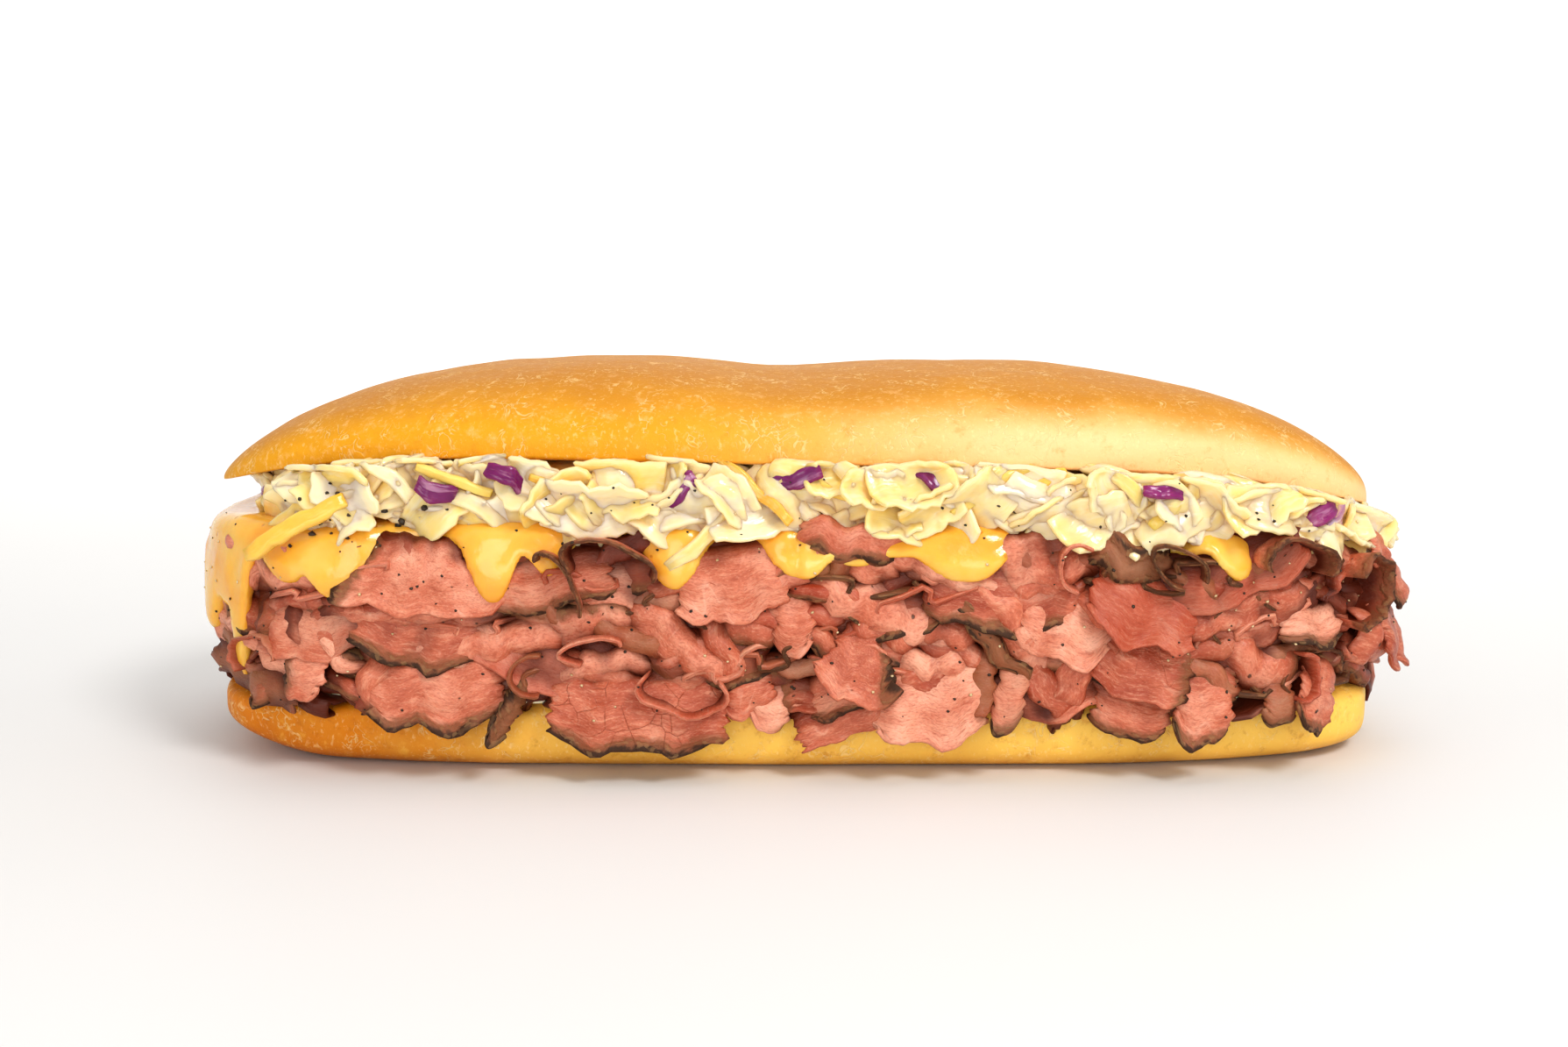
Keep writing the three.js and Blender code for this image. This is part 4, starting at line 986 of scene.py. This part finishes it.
pale_pile = Pile()
purple_pile = Pile()
carrot_pile = Pile()
SLAW_COUNT = 440
for index in range(SLAW_COUNT):
    s = WALL_ROUND * (index + slaw_draw.random()) / SLAW_COUNT
    share = slaw_draw.uniform(0.0, 1.0)
    depth = slaw_draw.uniform(-4.5, 0.8) - 3.0 * max(0.0, share - 0.6)
    kind = slaw_draw.choice(["leaf", "leaf", "leaf", "strip", "strip"])
    drawn_shred(pale_pile, slaw_draw, kind, s, share, depth, slaw_draw.random())
RED_CABBAGE = [-110, -66, -53, -22, 0, 25, 67, 99, 105]
for s in RED_CABBAGE:
    share = slaw_draw.uniform(0.5, 0.85)
    drawn_shred(purple_pile, slaw_draw, "bit", s, share, 0.8, slaw_draw.random())
FAR_BITS = 15
for index in range(FAR_BITS):
    s = 130.0 + (WALL_ROUND - 260.0) * (index + slaw_draw.random()) / FAR_BITS
    drawn_shred(purple_pile, slaw_draw, "bit", s, slaw_draw.uniform(0.3, 0.85), 0.6, slaw_draw.random())
for s in [-63, -40, -8, 3, 36, 42, 70, 152, 190, 233, 270, 301, 340, 388, 420]:
    drawn_shred(carrot_pile, slaw_draw, "stick", s, slaw_draw.uniform(0.4, 0.8), -0.8, slaw_draw.random())
carrot_foot = np.array([-101.0, -42.0, 43.5])
carrot_head = np.array([-84.0, -43.0, 53.0])
shred(
    carrot_pile, slaw_draw, (carrot_foot + carrot_head) / 2, carrot_head - carrot_foot,
    np.array([0.0, -1.0, 0.5]), 22.0, 3.4, 2.2, 35.0, 10.0, 0.0, hue=0.5,
)


def cabbage_finish(name, tints, vein, rib):
    """Raw cabbage under a film of dressing: tint by piece, paler ribs, and a wet sheen."""
    mix = Recipe(name)
    grain = mix.mark("grain", "Vector")
    hue = mix.mark("hue")
    rim = mix.mark("rim")
    fibre = mix.cloud(mix.stretch(grain, (0.25, 1.0, 1.0)), 700.0, 3.0)
    patch = mix.cloud(grain, 220.0, 2.0)
    colour = mix.ramp(hue * 0.75 + patch * 0.4 - 0.05, tints)
    colour = mix.mix(mix.step(fibre, 0.5, 0.7) * 0.45, colour, vein)
    colour = mix.mix(mix.step(rim + (patch - 0.5) * 0.8, 0.35, 1.0) * 0.6, colour, rib)
    return mix.finish(
        colour, mix.step(patch, 0.3, 0.7, 0.1, 0.24), fibre * 0.6 + patch, 0.0006, 0.5,
        Specular_IOR_Level=0.5, Subsurface_Weight=0.5, Subsurface_Scale=0.004,
        Subsurface_Radius=(1.0, 0.8, 0.35),
    )


pale_cabbage = pale_pile.piece("cabbage_shreds", cabbage_finish(
    "cabbage",
    [(0.1, (0.95, 0.5, 0.1)), (0.3, (1.0, 0.74, 0.4)), (0.55, (0.97, 0.63, 0.17)), (0.85, (1.0, 0.8, 0.52))],
    (1.0, 0.8, 0.54), (1.0, 0.77, 0.43),
))
seat(pale_cabbage, "coleslaw")
red_cabbage = purple_pile.piece("red_cabbage_shreds", cabbage_finish(
    "red_cabbage",
    [(0.1, (0.15, 0.008, 0.1)), (0.5, (0.26, 0.02, 0.15)),
     (0.75, (0.5, 0.2, 0.38)), (0.95, (0.88, 0.78, 0.72))],
    (0.7, 0.42, 0.56), (0.18, 0.008, 0.11),
))
seat(red_cabbage)
carrot = carrot_pile.piece("carrot_shreds", cabbage_finish(
    "carrot", [(0.2, (0.88, 0.4, 0.05)), (0.6, (0.93, 0.55, 0.09)), (0.9, (0.95, 0.68, 0.2))],
    (0.95, 0.66, 0.2), (0.93, 0.6, 0.16),
))
seat(carrot)

slaw_core = filling_core(
    "slaw_middle", 4.0, lambda x: sauce_top(x) - 0.6, lambda x: crown_edge(x) + 0.6, 1.0, SLAW_LEFT_INSET
)
slaw_points = np.empty(len(slaw_core.data.vertices) * 3)
slaw_core.data.vertices.foreach_get("co", slaw_points)
# Painted shade: the middle shows only in the gaps between shreds, so it takes the darkest tint, orange like
# the sauce-soaked shreds.
set_mark(slaw_core, "hue", np.full(len(slaw_points) // 3, 0.05))
set_mark(slaw_core, "rim", np.zeros(len(slaw_points) // 3))
slaw_grain = slaw_core.data.attributes.new("grain", "FLOAT_VECTOR", "POINT")
slaw_grain.data.foreach_set("vector", slaw_points.astype(np.float32))
slaw_core.data.materials.append(pale_cabbage.data.materials[0])
seat(slaw_core)

# Top half of the roll
# The upper half of the same roll, laid on the slaw. It rose in two swells with a shallow dip between,
# is baked deeper than the lower half on the left, and droops a little at both ends.
CROWN_HALF_WIDTH = (crown_high.y - crown_low.y) / 2 / MM
CROWN_LIP = 2.5
CROWN_RISE = 14.6
LEFT_TAPER = 1.57
RIGHT_TAPER = 0.96


def crown_rise(x):
    def swell_at(centre, spread):
        return np.exp(-(((x - centre) / spread) ** 2))
    return CROWN_RISE + 0.3 * swell_at(-45.0, 30.0) - 2.1 * swell_at(-3.0, 18.0) + 0.6 * swell_at(60.0, 34.0)


crown, crown_points, crown_up = add_layer(
    "top_roll", ROLL_HALF, CROWN_HALF_WIDTH, low=crown_edge, mid=lambda x: crown_edge(x) + CROWN_LIP,
    high=lambda x: crown_edge(x) + CROWN_LIP + crown_rise(x), plan=0.75, above=0.85, below=0.3,
    around=200, along=180, ends=(LEFT_TAPER, RIGHT_TAPER),
)
lift = 0.5 * wander(crown_points, 30.0, 21) + 0.2 * wander(crown_points, 9.0, 22)
crown_points[:, 2] += lift * np.clip(crown_up + 0.2, 0.0, 1.0)
crown_points[:, 1] += 0.5 * wander(crown_points, 26.0, 23) * np.sign(crown_points[:, 1])

# A shallow crease on top, a blister low on the right and short cracks on the left: x, z, size and swell.
CROWN_MARKS = [
    (40.0, 71.0, 3.5, -0.5), (44.0, 70.6, 2.5, 0.4), (75.5, 61.5, 2.6, 0.5), (72.5, 63.0, 1.8, 0.35),
    (78.5, 62.6, 1.6, 0.3), (-93.0, 61.5, 1.5, -0.4), (-90.5, 63.5, 1.3, -0.35),
]
for x, z, size, swell in CROWN_MARKS:
    apart = ((crown_points[:, 0] - x) / (1.6 * size)) ** 2 + ((crown_points[:, 2] - z) / (0.8 * size)) ** 2
    near = np.exp(-apart) * (crown_points[:, 1] < 0)
    crown_points[:, 1] -= swell * near
    crown_points[:, 2] += 0.6 * swell * near
set_points(crown, crown_points)
set_mark(crown, "rise", crown_up)
crown.data.materials.append(
    crust("top_crust", (0.58, 0.23, 0.014), (0.78, 0.36, 0.014), (0.97, 0.62, 0.31), -0.03, 0.05, 0.75)
)
seat(crown, "top_bun")

# Pepper
# Coarse cracked black pepper lies on the slaw, the sauce and the beef, with a few pale bits of garlic.
pepper_draw = random.Random(37)
bpy.context.view_layer.update()
layout = bpy.context.evaluated_depsgraph_get()
peppered_pieces = (beef_front, beef_fine, beef_back, sauce, pale_cabbage, red_cabbage)
grounds = [BVHTree.FromObject(piece, layout) for piece in peppered_pieces]


def surface_at(s, z):
    """Where a line straight in at that place on the wall first meets the filling."""
    point, along, out = wall_at(s)
    start = Vector((point + out * 20.0 + UP * z) * MM)
    hits = [ground.ray_cast(start, Vector(-out), 0.04) for ground in grounds]
    met = [(distance, place, normal) for place, normal, _, distance in hits if place is not None]
    return min(met, key=lambda hit: hit[0])[1:] if met else None


def flake(pile, draw, place, normal, size):
    """One chip of pepper: a squashed, uneven double cone lying on the surface."""
    normal = np.array(normal)
    side = np.cross(normal, UP + 0.3)
    side /= np.linalg.norm(side)
    other = np.cross(normal, side)
    corners = 6
    ring = [
        side * math.cos(math.tau * k / corners) * draw.uniform(0.6, 1.1)
        + other * math.sin(math.tau * k / corners) * draw.uniform(0.4, 1.0)
        for k in range(corners)
    ]
    points = np.array([*ring, normal * 0.55, normal * -0.4]) * size / 2
    points = points + np.array(place) / MM + normal * 0.12 * size
    faces = [(k, (k + 1) % corners, corners) for k in range(corners)]
    faces += [((k + 1) % corners, k, corners + 1) for k in range(corners)]
    pile.add(points, np.array(faces), hue=draw.random())


pepper_pile = Pile()
garlic_pile = Pile()
for index in range(480):
    crowd = pepper_draw.random()
    coarse = crowd < 0.06
    if coarse:
        s, z = pepper_draw.uniform(-98, -66), pepper_draw.uniform(44, 57)
    elif crowd < 0.6:
        s, z = pepper_draw.uniform(-128, 128), pepper_draw.uniform(12, 57)
    else:
        s, z = pepper_draw.uniform(128, WALL_ROUND - 128), pepper_draw.uniform(12, 57)
    met = surface_at(s, z)
    if met is None:
        continue
    pale_bit = pepper_draw.random() < 0.25
    size = pepper_draw.uniform(0.5, 0.9) if pale_bit else pepper_draw.uniform(0.4, 0.9)
    size = size * pepper_draw.uniform(1.2, 2.8) if coarse and not pale_bit else size
    flake(garlic_pile if pale_bit else pepper_pile, pepper_draw, *met, size)


def grain_finish(name, dark, light, rough):
    mix = Recipe(name)
    hue = mix.mark("hue")
    spot = mix.cloud(mix.place(), 1500.0, 2.0)
    return mix.finish(mix.mix(hue * 0.6 + spot * 0.4, dark, light), rough, spot, 0.0003, 0.6)


pepper_finish = grain_finish("pepper", (0.012, 0.009, 0.007), (0.075, 0.05, 0.03), 0.55)
pepper = pepper_pile.piece("pepper_flakes", pepper_finish)
seat(pepper)
garlic = garlic_pile.piece("garlic_bits", grain_finish("garlic", (0.6, 0.42, 0.2), (0.85, 0.72, 0.45), 0.4))
seat(garlic)

# Floor, light and camera
# A plain pale floor under broad soft light from above and from the front, a little stronger on the right.
FLOOR_SIZE = 8.0
SWEEP_START = 1.2
SWEEP_RADIUS = 1.6
bpy.ops.object.select_all(action="DESELECT")
bpy.ops.mesh.primitive_grid_add(x_subdivisions=2, y_subdivisions=160, size=FLOOR_SIZE)
floor = bpy.context.object
floor.name = "floor"
for vertex in floor.data.vertices:
    past = max(0.0, vertex.co.y - SWEEP_START) / SWEEP_RADIUS
    turn = min(past, math.pi / 2)
    vertex.co.z = SWEEP_RADIUS * (1.0 - math.cos(turn) + past - turn)
    vertex.co.y = min(vertex.co.y, SWEEP_START) + SWEEP_RADIUS * math.sin(turn)
bpy.ops.object.shade_smooth()
mix = Recipe("pale_floor")
floor_colour = mix.ramp(mix.cloud(mix.place(), 3.0), [(0.3, (0.8, 0.79, 0.78)), (0.7, (0.83, 0.82, 0.81))])
floor.data.materials.append(mix.finish(floor_colour, 0.6))

world = bpy.data.worlds.new("studio")
world.use_nodes = True
world.node_tree.nodes["Background"].inputs["Color"].default_value = (1.0, 0.99, 0.97, 1.0)
world.node_tree.nodes["Background"].inputs["Strength"].default_value = 0.55
bpy.context.scene.world = world


def softbox(name, place, size, power, target=(0.0, 0.0, 0.03)):
    light = bpy.data.lights.new(name, "AREA")
    light.shape = "DISK"
    light.size = size
    light.energy = power
    lamp = bpy.data.objects.new(name, light)
    bpy.context.scene.collection.objects.link(lamp)
    lamp.location = place
    lamp.rotation_euler = (Vector(target) - Vector(place)).to_track_quat("-Z", "Y").to_euler()


softbox("key_light", (0.5, -0.6, 0.85), 0.35, 4.8)
softbox("front_light", (-0.25, -1.1, 0.3), 0.7, 3.1)
softbox("top_light", (0.1, 0.0, 1.1), 0.7, 1.7)
softbox("low_light", (0.5, -0.9, 0.12), 0.5, 0.8)
softbox("wall_light", (0.0, 0.7, 1.6), 1.6, 34.0, (0.0, 2.8, 0.7))

PHOTO_WIDTH = 1789.0
PHOTO_FOCUS = 2100.0
camera_data = bpy.data.cameras.new("camera")
camera_data.sensor_width = 36.0
camera_data.lens = 36.0 * PHOTO_FOCUS / PHOTO_WIDTH
camera_data.clip_start = 0.01
camera = bpy.data.objects.new("camera", camera_data)
bpy.context.scene.collection.objects.link(camera)
camera.location = (-0.0024, -0.375, 0.104)
camera.rotation_euler = (math.radians(90.0 - 9.41), 0.0, 0.0)
bpy.context.scene.camera = camera
bpy.context.scene.view_settings.view_transform = "Standard"
bpy.context.scene.view_settings.look = "Medium High Contrast"
